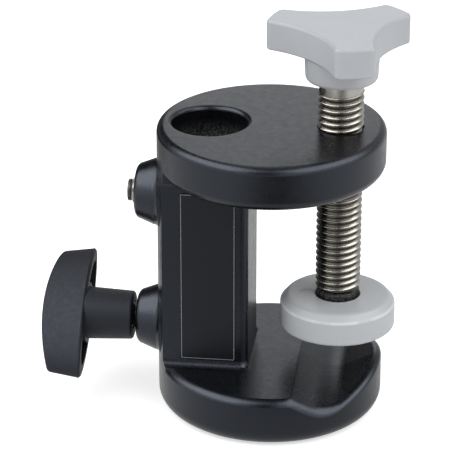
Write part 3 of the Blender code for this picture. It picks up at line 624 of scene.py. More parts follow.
def overlay(tree, base, mask, place, shader):
    """A base colour with a second one laid over it by a mask. The second one's socket is returned."""
    made = node(tree, "ShaderNodeMix", place, data_type="RGBA")
    tree.links.new(base, made.inputs["A"])
    tree.links.new(mask, made.inputs["Factor"])
    tree.links.new(made.outputs["Result"], shader.inputs["Base Color"])
    return made.inputs["B"]


def from_axis(tree, where, x, place):
    """How far a place lies from an upright axis of the clamp."""
    flat = node(tree, "ShaderNodeVectorMath", place, operation="MULTIPLY")
    flat.inputs[1].default_value = (1.0, 1.0, 0.0)
    tree.links.new(where, flat.inputs[0])
    reach = node(tree, "ShaderNodeVectorMath", (place[0] + 200, place[1]), operation="DISTANCE")
    reach.inputs[1].default_value = (x * MM, 0.0, 0.0)
    tree.links.new(flat.outputs["Vector"], reach.inputs[0])
    return reach.outputs["Value"]


def above_base(tree, where, place):
    """How high a place lies on the clamp."""
    axes = node(tree, "ShaderNodeSeparateXYZ", place)
    tree.links.new(where, axes.inputs[0])
    return axes.outputs["Z"]


def relief(tree, heights, shader, place):
    """Bumps laid over each other, each a (height, strength, depth in metres)."""
    last = None
    for count, (height, strength, deep) in enumerate(heights):
        made = node(tree, "ShaderNodeBump", (place[0] + 180 * count, place[1]))
        made.inputs["Strength"].default_value = strength
        made.inputs["Distance"].default_value = deep
        tree.links.new(height, made.inputs["Height"])
        if last:
            tree.links.new(last, made.inputs["Normal"])
        last = made.outputs["Normal"]
    tree.links.new(last, shader.inputs["Normal"])


powder_coat, tree, shader, where = finish("powder_coat", (0.0016, 0.0017, 0.0022), 0.29)
shader.inputs["Specular Tint"].default_value = (0.76, 0.84, 1.0, 1.0)
shader.inputs["Specular IOR Level"].default_value = 0.70
cloud = noise(tree, where, (-1200, 300), 90.0, 3.0)
paint = shades(tree, cloud, (-600, 300), (0.0012, 0.0013, 0.0017), (0.0020, 0.0021, 0.0027))
patch = noise(tree, where, (-1200, 0), 700.0, 4.0)
spread(tree, patch, (-600, 0), 0.25, 0.34, shader.inputs["Roughness"])
peel = noise(tree, where, (-1200, -300), 2100.0, 2.0)
grain = noise(tree, where, (-1200, -600), 5200.0, 3.0)
relief(tree, [(peel, 0.40, 0.00005), (grain, 0.50, 0.00002)], shader, (-600, -400))
BARE_REACH = (0.00830, 0.00845)
BARE_HEIGHT = (0.0640, 0.0570)
inside = ramp(tree, from_axis(tree, where, RECEIVER_X, (-1200, 900)), (-800, 900), *BARE_REACH, 1.0, 0.0)
deep = ramp(tree, above_base(tree, where, (-1000, 600)), (-800, 600), *BARE_HEIGHT, 0.0, 1.0)
bare = combine(tree, "MULTIPLY", inside, deep, (-600, 700))
crystal = ramp(tree, noise(tree, where, (-1000, 1200), 2400.0, 2.0), (-800, 1200), 0.42, 0.62, 0.0, 1.0)
metal = overlay(tree, paint, bare, (-300, 500), shader)
tint(tree, crystal, (-500, 900), (0.030, 0.029, 0.028), (0.17, 0.167, 0.163), metal)


def dress(piece, material, body, slot, *nodes):
    """Give a piece its finish, hang it on its body and let it stand for its CAD nodes."""
    piece.data.materials.clear()
    piece.data.materials.append(material)
    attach(piece, body)
    if nodes:
        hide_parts(*nodes)


dress(casting, powder_coat, "frame", "casting", "clamp_body")

# The label: a thin black film with a fine pale border line, glued on the column's front.
# The panel inside the border is left plain.
LABEL_LOW = (-18.9, 13.3)
LABEL_HIGH = (-6.7, 53.1)
LABEL_BACK = -10.03
LABEL_FRONT = -10.22
LABEL_CORNER = 0.5
LABEL_EDGE = 0.05
LINE_INSET = 0.22
LINE_WIDTH = 0.10
LINE_CORNER = 0.15
LINE_SINK = 0.05
LINE_RISE = 0.015


def rounded_box(low, high, inset, corner, y):
    """A rounded rectangle on the column's front, drawn in by an inset."""
    x0, z0, x1, z1 = low[0] + inset, low[1] + inset, high[0] - inset, high[1] - inset
    points = arc((x1 - corner, z0 + corner), corner, -90, 0, 6)
    points += arc((x1 - corner, z1 - corner), corner, 0, 90, 6)
    points += arc((x0 + corner, z1 - corner), corner, 90, 180, 6)
    points += arc((x0 + corner, z0 + corner), corner, 180, 270, 6)
    return [(x, y, z) for x, z in points]


label = loft("label_film", [
    rounded_box(LABEL_LOW, LABEL_HIGH, 0.0, LABEL_CORNER, LABEL_BACK),
    rounded_box(LABEL_LOW, LABEL_HIGH, 0.0, LABEL_CORNER, LABEL_FRONT + LABEL_EDGE),
    rounded_box(LABEL_LOW, LABEL_HIGH, LABEL_EDGE, LABEL_CORNER, LABEL_FRONT),
])
smooth(label, 25)
label_film, tree, shader, where = finish("label_film", (0.0020, 0.0022, 0.0028), 0.42)
shader.inputs["Specular Tint"].default_value = (0.80, 0.88, 1.0, 1.0)
shader.inputs["Specular IOR Level"].default_value = 0.55
cloud = noise(tree, where, (-1200, 300), 400.0, 3.0)
spread(tree, cloud, (-600, 0), 0.38, 0.48, shader.inputs["Roughness"])
weave = noise(tree, where, (-1200, -300), 4000.0, 2.0)
relief(tree, [(weave, 0.10, 0.00002)], shader, (-600, -400))
dress(label, label_film, "frame", "label", "label_plate")

border = loft("label_border", [
    rounded_box(LABEL_LOW, LABEL_HIGH, LINE_INSET, LINE_CORNER, LABEL_FRONT + LINE_SINK),
    rounded_box(LABEL_LOW, LABEL_HIGH, LINE_INSET, LINE_CORNER, LABEL_FRONT - LINE_RISE),
])
inset, corner = LINE_INSET + LINE_WIDTH, LINE_CORNER - LINE_WIDTH
hollow = loft("border_hollow", [
    rounded_box(LABEL_LOW, LABEL_HIGH, inset, corner, LABEL_FRONT + OVERCUT),
    rounded_box(LABEL_LOW, LABEL_HIGH, inset, corner, LABEL_FRONT - OVERCUT),
])
carve(border, hollow)
smooth(border, 25)
border_ink, tree, shader, where = finish("border_ink", (0.30, 0.31, 0.33), 0.50)
fleck = noise(tree, where, (-1200, 300), 2500.0, 3.0)
tint(tree, fleck, (-600, 300), (0.25, 0.26, 0.28), (0.36, 0.37, 0.39), shader.inputs["Base Color"])
dress(border, border_ink, "frame", "label")

# The clamp screw: an M10 screw, nickel plated, with a plain neck under the handle and a
# turned shoulder above the pad.
SCREW_RADIUS = 5.0
SCREW_PITCH = 1.5
THREAD_DEPTH = 0.92
THREAD_LOW = 28.5
THREAD_HIGH = 74.9
NECK_RADIUS = 4.8
NECK_TOP = 77.0
SPIGOT_RADIUS = 4.0
SPIGOT_TOP = 85.8
JOURNAL_RADIUS = 3.0
JOURNAL_LOW = 23.0
THREAD_STEPS = 64
RUN_IN = 2.6
RUN_IN_RADIUS = 4.4
PAST_THREAD = 7.0
NECK_EDGE = 0.15
NECK_FOOT = 0.35
UNDERCUT_RADIUS = 4.1
UNDERCUT_DEPTH = 0.9
THREAD_START = math.radians(4)


def settle(piece, turn, place):
    """Turn a piece about its own axes, move it to its place and leave both in its mesh."""
    piece.rotation_euler = turn
    piece.location = Vector(place) * MM
    bpy.ops.object.select_all(action="DESELECT")
    piece.select_set(True)
    bpy.ops.object.transform_apply(location=True, rotation=True, scale=True)


def threaded_rod(name, radius, pitch, depth, low, high, place, turned_to, steps):
    """A rod with a right-hand thread whose crests and roots are rounded, longer than asked."""
    turns = math.ceil((high - low) / pitch) + 3
    base = low - 2 * pitch
    tooth = [(radius - depth, 0.06), (radius - 0.10, 0.40), (radius - 0.02, 0.45)]
    tooth += [(radius, 0.50), (radius - 0.02, 0.55), (radius - 0.10, 0.60), (radius - depth, 0.94)]
    profile = [(0.0, base)]
    for turn in range(turns):
        profile += [(across, base + (turn + share) * pitch) for across, share in tooth]
    profile.append((0.0, base + turns * pitch))
    piece = outline(name, [(across, 0.0, z) for across, z in profile])
    ends = {0, len(profile) - 1}
    select(piece, "EDGE", lambda edge: ends == {vertex.index for vertex in edge.verts})
    bpy.ops.mesh.delete(type="EDGE_FACE")
    bpy.ops.object.mode_set(mode="OBJECT")
    turn = piece.modifiers.new("turn", "SCREW")
    turn.screw_offset = pitch * MM
    turn.steps = steps
    turn.render_steps = steps
    bpy.ops.object.modifier_apply(modifier=turn.name)
    select(piece, "EDGE", lambda edge: True)
    tidy_mesh()
    select(piece, "EDGE", lambda edge: edge.is_boundary)
    bpy.ops.mesh.fill_holes(sides=0)
    tidy_mesh()
    settle(piece, turned_to, place)
    return piece


screw_foot = (SCREW_X, 0.0, 0.0)
screw = threaded_rod(
    "clamp_screw_m10", SCREW_RADIUS, SCREW_PITCH, THREAD_DEPTH, JOURNAL_LOW, THREAD_HIGH, screw_foot,
    (0.0, 0.0, THREAD_START), THREAD_STEPS,
)
envelope = [(0.0, THREAD_HIGH), (PAST_THREAD, THREAD_HIGH), (PAST_THREAD, THREAD_LOW + RUN_IN)]
envelope += [(RUN_IN_RADIUS, THREAD_LOW), (JOURNAL_RADIUS, THREAD_LOW)]
envelope += [(JOURNAL_RADIUS, JOURNAL_LOW), (0.0, JOURNAL_LOW)]
carve(screw, lathe("envelope", envelope, 96, screw_foot), "INTERSECT")
neck = [(0.0, SPIGOT_TOP), (SPIGOT_RADIUS, SPIGOT_TOP), (SPIGOT_RADIUS, NECK_TOP)]
neck += [(NECK_RADIUS - NECK_EDGE, NECK_TOP), (NECK_RADIUS, NECK_TOP - NECK_EDGE)]
neck += [(NECK_RADIUS, THREAD_HIGH - NECK_FOOT), (UNDERCUT_RADIUS, THREAD_HIGH - UNDERCUT_DEPTH)]
neck.append((0.0, THREAD_HIGH - UNDERCUT_DEPTH))
carve(screw, lathe("neck", neck, 96, screw_foot), "UNION")
smooth(screw, 40)


def plated(name):
    """Nickel plate over turned steel: its material, its nodes, its coordinates and its colour."""
    made, tree, shader, where = finish(name, (0.52, 0.50, 0.455), 0.22, 1.0)
    cloud = noise(tree, where, (-1200, 300), 350.0, 4.0)
    color = shades(tree, cloud, (-600, 300), (0.47, 0.45, 0.405), (0.57, 0.55, 0.505))
    tree.links.new(color, shader.inputs["Base Color"])
    smear = noise(tree, where, (-1200, 0), 1200.0, 4.0)
    spread(tree, smear, (-600, 0), 0.18, 0.34, shader.inputs["Roughness"])
    stretch = node(tree, "ShaderNodeMapping", (-1300, -300))
    stretch.inputs["Scale"].default_value = (0.05, 0.05, 1.0)
    tree.links.new(where, stretch.inputs["Vector"])
    lines = noise(tree, stretch.outputs["Vector"], (-1100, -300), 9000.0, 2.0)
    pits = noise(tree, where, (-1100, -600), 3500.0, 3.0)
    relief(tree, [(lines, 0.05, 0.00001), (pits, 0.04, 0.00001)], shader, (-600, -400))
    return made, tree, shader, where, color


nickel = plated("nickel_plate")[0]
threads, tree, shader, where, color = plated("nickel_thread")
# Painted shade: the thread roots, close to the screw's axis, are painted a darker colour to stand for the
# shade in the valleys between the crests.
ROOT_SHADE_REACH = (0.0042, 0.0048)
ROOT_SHADE_COLOR = (0.20, 0.19, 0.165, 1.0)
root_shade = ramp(tree, from_axis(tree, where, SCREW_X, (-1200, 900)), (-800, 900), *ROOT_SHADE_REACH, 1.0, 0.0)
overlay(tree, color, root_shade, (-300, 500), shader).default_value = ROOT_SHADE_COLOR
dress(screw, threads, "screw", "steel", "clamp_screw")

# The handle: a three-lobed knob of pale grey plastic, moulded over the screw's spigot, with
# flat lobe ends, drawn-in sides and a round hub below.
HUB_LOW = 77.3
HUB_RADIUS = 8.1
HUB_FOOT_RADIUS = 7.85
HUB_FOOT_ROUND = 1.0
HUB_SINK = 1.5
SOCKET_RADIUS = 4.3
SOCKET_EDGE = 4.6
SOCKET_MOUTH = 4.9
SOCKET_GAP = 0.3
NEAR = 0.1
HANDLE_TOP = 89.8
LOBE_THICKNESS = 6.7
LOBE_COUNT = 3
LOBE_REACH = 16.3
LOBE_END_BOW = 24.0
LOBE_HALF = 4.4
LOBE_CORNER = 1.3
LOBE_VALLEY = 8.8
LOBE_TOP_ROUND = 0.75
LOBE_LOW_ROUND = 0.45
LOBE_ANGLE = math.radians(-75.5)


def turned(point, angle):
    """A point of the handle turned about the screw's axis."""
    x, y = point
    return x * math.cos(angle) - y * math.sin(angle), x * math.sin(angle) + y * math.cos(angle)


spacing = math.pi / LOBE_COUNT
lobe_end = arc((LOBE_REACH - LOBE_CORNER, LOBE_CORNER - LOBE_HALF), LOBE_CORNER, -90, 0, 8)
lobe_end += [(LOBE_REACH, (LOBE_HALF - LOBE_CORNER) * share / 4) for share in range(-3, 4)]
lobe_end += arc((LOBE_REACH - LOBE_CORNER, LOBE_HALF - LOBE_CORNER), LOBE_CORNER, 0, 90, 8)
lobe_end = [(x - y * y / (2 * LOBE_END_BOW), y) for x, y in lobe_end]
tip = Vector(lobe_end[-1])
along = tip.x * math.cos(spacing) + tip.y * math.sin(spacing)
across = tip.x * math.sin(spacing) - tip.y * math.cos(spacing)
valley = (LOBE_VALLEY ** 2 - tip.length_squared) / (2 * (LOBE_VALLEY - along))
swing = math.degrees(math.atan2(across, valley - along))
side = arc((valley, 0.0), valley - LOBE_VALLEY, 180 + swing, 180 - swing, 36)
shape = []
for lobe in range(LOBE_COUNT):
    angle = LOBE_ANGLE + 2 * spacing * lobe
    shape += [turned(point, angle) for point in lobe_end]
    shape += [turned(point, angle + spacing) for point in side[1:-1]]
lobe_low = HANDLE_TOP - LOBE_THICKNESS
handle = outline("lobed_handle", [(SCREW_X + x, y, lobe_low) for x, y in shape], True)
select(handle, "FACE", lambda face: True)
bpy.ops.mesh.extrude_region_move(TRANSFORM_OT_translate={"value": (0.0, 0.0, LOBE_THICKNESS * MM)})
tidy_mesh()
select(handle, "EDGE", lambda edge: all(vertex.co.z > (HANDLE_TOP - NEAR) * MM for vertex in edge.verts))
bpy.ops.mesh.bevel(offset=LOBE_TOP_ROUND * MM, segments=6, clamp_overlap=False)
bpy.ops.object.mode_set(mode="OBJECT")
select(handle, "EDGE", lambda edge: all(vertex.co.z < (lobe_low + NEAR) * MM for vertex in edge.verts))
bpy.ops.mesh.bevel(offset=LOBE_LOW_ROUND * MM, segments=4, clamp_overlap=False)
tidy_mesh()
hub = [(0.0, HANDLE_TOP - HUB_SINK), (HUB_RADIUS, HANDLE_TOP - HUB_SINK), (HUB_RADIUS, lobe_low)]
hub += arc((HUB_FOOT_RADIUS - HUB_FOOT_ROUND, HUB_LOW + HUB_FOOT_ROUND), HUB_FOOT_ROUND, 0, -90, 8)
hub += [(SOCKET_EDGE, HUB_LOW), (0.0, HUB_LOW)]
carve(handle, lathe("hub", hub, 128, screw_foot), "UNION")
socket = [(0.0, SPIGOT_TOP + SOCKET_GAP), (SOCKET_RADIUS, SPIGOT_TOP + SOCKET_GAP)]
socket += [(SOCKET_RADIUS, HUB_LOW + SOCKET_GAP), (SOCKET_MOUTH, HUB_LOW - SOCKET_GAP)]
socket.append((0.0, HUB_LOW - SOCKET_GAP))
carve(handle, lathe("socket", socket, 96, screw_foot))
smooth(handle, 35)
grey_plastic, tree, shader, where = finish("handle_plastic", (0.44, 0.455, 0.48), 0.44)
cloud = noise(tree, where, (-1200, 300), 160.0, 3.0)
tint(tree, cloud, (-600, 300), (0.425, 0.44, 0.465), (0.455, 0.47, 0.495), shader.inputs["Base Color"])
patch = noise(tree, where, (-1200, 0), 900.0, 3.0)
spread(tree, patch, (-600, 0), 0.40, 0.50, shader.inputs["Roughness"])
spark = noise(tree, where, (-1200, -300), 4500.0, 3.0)
flow = noise(tree, where, (-1200, -600), 220.0, 2.0)
relief(tree, [(flow, 0.06, 0.0002), (spark, 0.10, 0.00002)], shader, (-600, -400))
dress(handle, grey_plastic, "screw", "handle_plastic", "screw_handle")

# The pressure pad: a round grey plastic foot that swivels on the screw's end, with a sloped
# upper rim and a shallow ejector mark from its mould. A painted highlight runs along its outer rim edge.
PAD_RADIUS = 12.75
PAD_LOW = 19.4
PAD_TOP = 26.6
WEB_LOW = 23.0
WEB_TOP = 25.6
PAD_BORE = 3.3
RECESS = 5.0
RECESS_EDGE = 0.1
RIM_RUN = 2.3
RIM_FALL = 2.0
SHOULDER_ROUND = 1.8
PAD_RIM_ROUND = 0.75
PAD_FOOT_ROUND = 0.7
RIM_SLOPE = math.degrees(math.atan2(1.5, 2.0))
profile = [(PAD_BORE, WEB_TOP), (RECESS, WEB_TOP), (RECESS, PAD_TOP - RECESS_EDGE)]
profile.append((RECESS + RECESS_EDGE, PAD_TOP))
profile += arc((PAD_RADIUS - RIM_RUN, PAD_TOP - SHOULDER_ROUND), SHOULDER_ROUND, 90, 90 - RIM_SLOPE, 5)
profile += arc((PAD_RADIUS - PAD_RIM_ROUND, PAD_TOP - RIM_FALL), PAD_RIM_ROUND, 90 - RIM_SLOPE, 0, 6)
profile += arc((PAD_RADIUS - PAD_FOOT_ROUND, PAD_LOW + PAD_FOOT_ROUND), PAD_FOOT_ROUND, 0, -90, 8)
profile += [(RECESS + RECESS_EDGE, PAD_LOW), (RECESS + RECESS_EDGE, WEB_LOW), (PAD_BORE, WEB_LOW)]
pad = lathe("pressure_pad_grey", profile, 160, screw_foot)
MARK = (8.3, -0.6)
MARK_RADIUS = 1.8
MARK_DEPTH = 0.12
MARK_EDGE = 0.15
mark = [(0.0, PAD_TOP + OVERCUT), (MARK_RADIUS, PAD_TOP + OVERCUT), (MARK_RADIUS, PAD_TOP - MARK_DEPTH / 2)]
mark += [(MARK_RADIUS - MARK_EDGE, PAD_TOP - MARK_DEPTH), (0.0, PAD_TOP - MARK_DEPTH)]
carve(pad, lathe("ejector_mark", mark, 48, (*MARK, 0.0)))
smooth(pad, 30)
pad_plastic, tree, shader, where = finish("pad_plastic", (0.46, 0.48, 0.50), 0.38)
cloud = noise(tree, where, (-1200, 300), 140.0, 3.0)
grey = shades(tree, cloud, (-600, 300), (0.47, 0.49, 0.51), (0.50, 0.52, 0.54))
# Painted highlight: a paler band along the pad's outer rim edge, broken up by a noise, stands for the
# highlight that edge catches from the soft boxes.
LIP_HIGHLIGHT_REACH = (0.0123, 0.0126)
LIP_HIGHLIGHT_HEIGHT = (0.0245, 0.0248)
LIP_HIGHLIGHT_COLOR = (0.66, 0.68, 0.70, 1.0)
lip_highlight = combine(
    tree, "MULTIPLY",
    ramp(tree, from_axis(tree, where, SCREW_X, (-1200, 900)), (-800, 900), *LIP_HIGHLIGHT_REACH, 0.0, 1.0),
    ramp(tree, above_base(tree, where, (-1000, 600)), (-800, 600), *LIP_HIGHLIGHT_HEIGHT, 0.0, 1.0), (-600, 800),
)
highlight_breakup = ramp(tree, noise(tree, where, (-1000, 300), 220.0, 2.0), (-800, 300), 0.35, 0.60, 0.3, 0.9)
lip_highlight = combine(tree, "MULTIPLY", lip_highlight, highlight_breakup, (-450, 600))
overlay(tree, grey, lip_highlight, (-300, 400), shader).default_value = LIP_HIGHLIGHT_COLOR
patch = noise(tree, where, (-1200, 0), 900.0, 3.0)
spread(tree, patch, (-600, 0), 0.34, 0.44, shader.inputs["Roughness"])
spark = noise(tree, where, (-1200, -300), 4500.0, 3.0)
flow = noise(tree, where, (-1200, -600), 200.0, 2.0)
relief(tree, [(flow, 0.06, 0.0002), (spark, 0.10, 0.00002)], shader, (-600, -400))
dress(pad, pad_plastic, "pad", "pad_plastic", "pressure_pad")

# The thrust collar: a black nylon ring, a little greasy and worn. It sits loose on the screw's
# journal, and the screw's shoulder pushes on it.
COLLAR_LOW = 25.9
COLLAR_TOP = 28.2
COLLAR_RADIUS = 4.85
COLLAR_EDGE = 0.15
COLLAR_ROUND = 0.8
WEAR = 0.28
WEAR_WAVES = (5, 11)
WEAR_SHIFT = 2.0
WORN_FROM = 4.0
profile = [(PAD_BORE, COLLAR_LOW), (COLLAR_RADIUS - COLLAR_EDGE, COLLAR_LOW)]
profile += [(COLLAR_RADIUS, COLLAR_LOW + COLLAR_EDGE), (COLLAR_RADIUS, PAD_TOP)]
profile += arc((COLLAR_RADIUS - COLLAR_ROUND, COLLAR_TOP - COLLAR_ROUND), COLLAR_ROUND, 0, 90, 6)
profile.append((PAD_BORE, COLLAR_TOP))
collar = lathe("nylon_collar", profile, 96, screw_foot)
for vertex in collar.data.vertices:
    x, y = vertex.co.x / MM - SCREW_X, vertex.co.y / MM
    angle, reach = math.atan2(y, x), math.hypot(x, y)
    if reach > WORN_FROM:
        wave = math.sin(WEAR_WAVES[0] * angle) * math.sin(WEAR_WAVES[1] * angle + WEAR_SHIFT)
        worn = 1.0 - WEAR * (1.0 + wave) / reach
        vertex.co.x = (SCREW_X + x * worn) * MM
        vertex.co.y = y * worn * MM
smooth(collar, 35)
nylon, tree, shader, where = finish("black_nylon", (0.012, 0.012, 0.013), 0.35)
smear = noise(tree, where, (-1200, 0), 900.0, 4.0)
spread(tree, smear, (-600, 0), 0.20, 0.55, shader.inputs["Roughness"])
lumps = noise(tree, where, (-1200, -300), 1400.0, 3.0)
relief(tree, [(lumps, 1.0, 0.0005)], shader, (-600, -400))
dress(collar, nylon, "pad_carrier", "nylon", "thrust_collar")

# The keeper: a plain washer and a socket screw of plated steel under the pad's web. The screw
# goes up into the clamp screw's end, and together they hold the pad on.
for name in ("keeper_washer", "keeper_screw"):
    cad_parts[name].data.materials.clear()
    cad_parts[name].data.materials.append(nickel)

# The T-knob: a glass-filled black plastic grip, an oval bar with drafted sides and an arched
# top, hollow below on both sides of its tapered stem.
BAR_BASE = -41.2
BAR_HALF_LENGTH = 16.4
BAR_HALF_WIDTH = 6.1
BAR_OVAL = 1.8
BAR_DRAFT = math.tan(math.radians(8.6))
BAR_HEIGHT = 9.88
BAR_END_HEIGHT = 7.2
BAR_ANGLE = math.radians(53.1)
BAR_POINTS = 128
BAR_WALL = 1.5
BAR_END_WALL = 3.2
POCKET_DEPTH = 5.0


def knob_place(along, across, out):
    """A point of the knob in its own directions, put at its place on the clamp."""
    y = along * math.sin(BAR_ANGLE) + across * math.cos(BAR_ANGLE)
    z = along * math.cos(BAR_ANGLE) - across * math.sin(BAR_ANGLE)
    return BAR_BASE - out, y, LOCK_Z + z


def bar_oval():
    """The bar's oval outline as shares of its half length and half width."""
    points = []
    for step in range(BAR_POINTS):
        angle = 2 * math.pi * step / BAR_POINTS
        x, y = math.cos(angle), math.sin(angle)
        points.append(tuple(math.copysign(abs(share) ** (2 / BAR_OVAL), share) for share in (x, y)))
    return points


def bar_ring(inset, out, end_inset=0.0):
    """The bar's outline at a height above its underside, shorter by an inset of its ends."""
    long = BAR_HALF_LENGTH - max(inset, end_inset)
    wide = BAR_HALF_WIDTH - inset
    return [knob_place(long * x, wide * y, out) for x, y in bar_oval()]


LIP = 0.80
LIP_LEANS = (0.0, 0.5, 1.0, 1.3)
CROWN_ROUND = 0.75
CROWN_LEANS = (9, 25, 41, 57, 73, 88)
CROWN_SHARES = (0.92, 0.8, 0.65, 0.5, 0.35, 0.2, 0.08)
rise = BAR_HEIGHT - BAR_END_HEIGHT
arch = (BAR_HALF_LENGTH ** 2 + rise ** 2) / (2 * rise)


def crown_ring(lean, share=1.0):
    """A ring on the round below the bar's arched top, at a lean of 0 to 90 degrees, or on the top."""
    sink = CROWN_ROUND * (1.0 - math.sin(math.radians(lean)))
    inset = CROWN_ROUND * (1.0 - math.cos(math.radians(lean)))
    points = []
    for x, y in bar_oval():
        pull = inset + BAR_END_HEIGHT * BAR_DRAFT
        for _ in range(3):
            along = (BAR_HALF_LENGTH - pull) * share * x
            height = BAR_HEIGHT - arch + math.sqrt(arch ** 2 - along ** 2) - sink
            pull = inset + height * BAR_DRAFT
        points.append(knob_place(along, (BAR_HALF_WIDTH - pull) * share * y, height))
    return points


rings = [bar_ring(LIP - LIP * math.sin(lean), LIP - LIP * math.cos(lean)) for lean in LIP_LEANS]
rings.append(bar_ring(LIP * BAR_DRAFT, LIP))
rings += [crown_ring(lean) for lean in CROWN_LEANS]
rings += [crown_ring(90, share) for share in CROWN_SHARES]
knob = loft("t_knob_grip", rings)
knob_foot = (BAR_BASE, 0.0, LOCK_Z)
outward = (-1.0, 0.0, 0.0)
CORE_RADIUS = 6.8
CORE_LOW = -4.0
CORE_TOP = 8.0
hollows = loft("hollows", [bar_ring(BAR_WALL, out, BAR_END_WALL) for out in (-OVERCUT, POCKET_DEPTH)])
carve(hollows, lathe("core", rod(CORE_RADIUS, CORE_LOW, CORE_TOP), 96, knob_foot, outward))
carve(knob, hollows)
STEM_ROOT = 5.9
STEM_SINK = 0.5
STEM_END = -10.4
STEM_END_RADIUS = 5.45
STEM_END_ROUND = 0.55
BLIND_MOUTH = -13.0
BLIND_END = 1.9
stem = [(0.0, STEM_SINK), (STEM_ROOT, STEM_SINK), (STEM_ROOT, 0.0)]
stem += arc((STEM_END_RADIUS - STEM_END_ROUND, STEM_END + STEM_END_ROUND), STEM_END_ROUND, 0, -90, 6)
stem.append((0.0, STEM_END))
carve(knob, lathe("stem", stem, 96, knob_foot, outward), "UNION")
carve(knob, lathe("stud_socket", rod(STUD_HOLE, BLIND_MOUTH, BLIND_END), 48, knob_foot, outward))
smooth(knob, 32)
knob_plastic, tree, shader, where = finish("knob_plastic", (0.0065, 0.007, 0.0085), 0.50)
shader.inputs["Specular Tint"].default_value = (0.78, 0.85, 1.0, 1.0)
shader.inputs["Specular IOR Level"].default_value = 0.55
cloud = noise(tree, where, (-1200, 300), 220.0, 4.0)
KNOB_DARK = (0.005, 0.0054, 0.0066)
KNOB_LIGHT = (0.008, 0.0086, 0.0104)
tint(tree, cloud, (-600, 300), KNOB_DARK, KNOB_LIGHT, shader.inputs["Base Color"])
patch = noise(tree, where, (-1200, 0), 1100.0, 3.0)
spread(tree, patch, (-600, 0), 0.50, 0.62, shader.inputs["Roughness"])
spark = noise(tree, where, (-1200, -300), 3600.0, 4.0)
relief(tree, [(spark, 0.22, 0.00003)], shader, (-600, -400))
dress(knob, knob_plastic, "knob", "knob_plastic", "t_knob")

# The knob's stud and the shoe on its end: an M6 steel stud moulded into the knob, and a turned
# brass shoe that presses on what is put in the receiver.
dark_steel, tree, shader, where = finish("dark_steel", (0.10, 0.10, 0.105), 0.32, 1.0)
cloud = noise(tree, where, (-1200, 300), 900.0, 4.0)
tint(tree, cloud, (-600, 300), (0.07, 0.07, 0.075), (0.14, 0.14, 0.145), shader.inputs["Base Color"])
smear = noise(tree, where, (-1200, 0), 1600.0, 4.0)
spread(tree, smear, (-600, 0), 0.26, 0.42, shader.inputs["Roughness"])
STUD_RADIUS = 3.0
STUD_PITCH = 1.0
STUD_DEPTH = 0.61
STUD_START = 10.05
STUD_END = 29.05
PIP_RADIUS = 1.3
PIP_LOW = 8.85
OUTWARD_TURN = (0.0, math.radians(-90), 0.0)
lock_foot = (RECEIVER_X, 0.0, LOCK_Z)
stud = threaded_rod(
    "knob_stud_m6", STUD_RADIUS, STUD_PITCH, STUD_DEPTH, PIP_LOW, STUD_END, lock_foot, OUTWARD_TURN, 40,
)
PAST_STUD = 4.0
STUD_RUN_IN = 1.6
envelope = [(0.0, STUD_END), (PAST_STUD, STUD_END), (PAST_STUD, STUD_START + STUD_RUN_IN)]
envelope.append((PAST_STUD - STUD_RUN_IN, STUD_START))
envelope += [(PIP_RADIUS, STUD_START), (PIP_RADIUS, PIP_LOW), (0.0, PIP_LOW)]
carve(stud, lathe("stud_envelope", envelope, 64, lock_foot, outward), "INTERSECT")
smooth(stud, 40)
dress(stud, dark_steel, "knob", "steel", "knob_stud")
brass, tree, shader, where = finish("turned_brass", (0.72, 0.52, 0.22), 0.30, 1.0)
cloud = noise(tree, where, (-1200, 300), 500.0, 4.0)
tint(tree, cloud, (-600, 300), (0.62, 0.44, 0.18), (0.78, 0.58, 0.27), shader.inputs["Base Color"])
smear = noise(tree, where, (-1200, 0), 1500.0, 4.0)
spread(tree, smear, (-600, 0), 0.24, 0.40, shader.inputs["Roughness"])
SHOE_RADIUS = 3.0
SHOE_TOP = 9.75
SHOE_EDGE = 0.1
SHOE_TIP = 6.75
SHOE_ROUND = 0.4
CUP_RADIUS = 1.6
CUP_FLOOR = 8.55
profile = [(0.0, CUP_FLOOR), (CUP_RADIUS, CUP_FLOOR), (CUP_RADIUS, SHOE_TOP)]
profile += [(SHOE_RADIUS - SHOE_EDGE, SHOE_TOP), (SHOE_RADIUS, SHOE_TOP - SHOE_EDGE)]
profile += arc((SHOE_RADIUS - SHOE_ROUND, SHOE_TIP + SHOE_ROUND), SHOE_ROUND, 0, -90, 5)
shoe = lathe("brass_shoe", [*profile, (0.0, SHOE_TIP)], 64, lock_foot, outward)
smooth(shoe, 30)
dress(shoe, brass, "shoe", "brass", "lock_shoe")

# The safety pin: a sprung steel pin in the upper boss. Its flat button sits on a pressed bush,
# and pulling it draws the pin's tip out of the receiver.
safety_foot = (RECEIVER_X, 0.0, SAFETY_Z)
BUSH_BORE = 1.3
BUSH_RADIUS = 2.3
BUSH_LOW = 15.4
BUSH_TOP = 17.0
FLANGE_RADIUS = 2.8
FLANGE_LOW = 16.6
FLANGE_EDGE = 0.1
profile = [(BUSH_BORE, BUSH_LOW), (BUSH_BORE, BUSH_TOP), (FLANGE_RADIUS - FLANGE_EDGE, BUSH_TOP)]
profile += [(FLANGE_RADIUS, BUSH_TOP - FLANGE_EDGE), (FLANGE_RADIUS, FLANGE_LOW)]
profile += [(BUSH_RADIUS, FLANGE_LOW), (BUSH_RADIUS, BUSH_LOW)]
bush = lathe("pressed_bush", profile, 64, safety_foot, outward)
smooth(bush, 30)
dress(bush, nickel, "frame", "steel", "button_bush")
BUTTON_BORE = 1.02
BUTTON_RADIUS = 2.45
BUTTON_LOW = 17.3
BUTTON_EDGE = 0.15
BUTTON_SIDE = 17.7
BUTTON_TOP = 18.1
BUTTON_ROUND = 0.35
DISH_RADIUS = 1.35
DISH_DEPTH = 0.15
profile = [(BUTTON_BORE, BUTTON_LOW), (BUTTON_RADIUS - BUTTON_EDGE, BUTTON_LOW)]
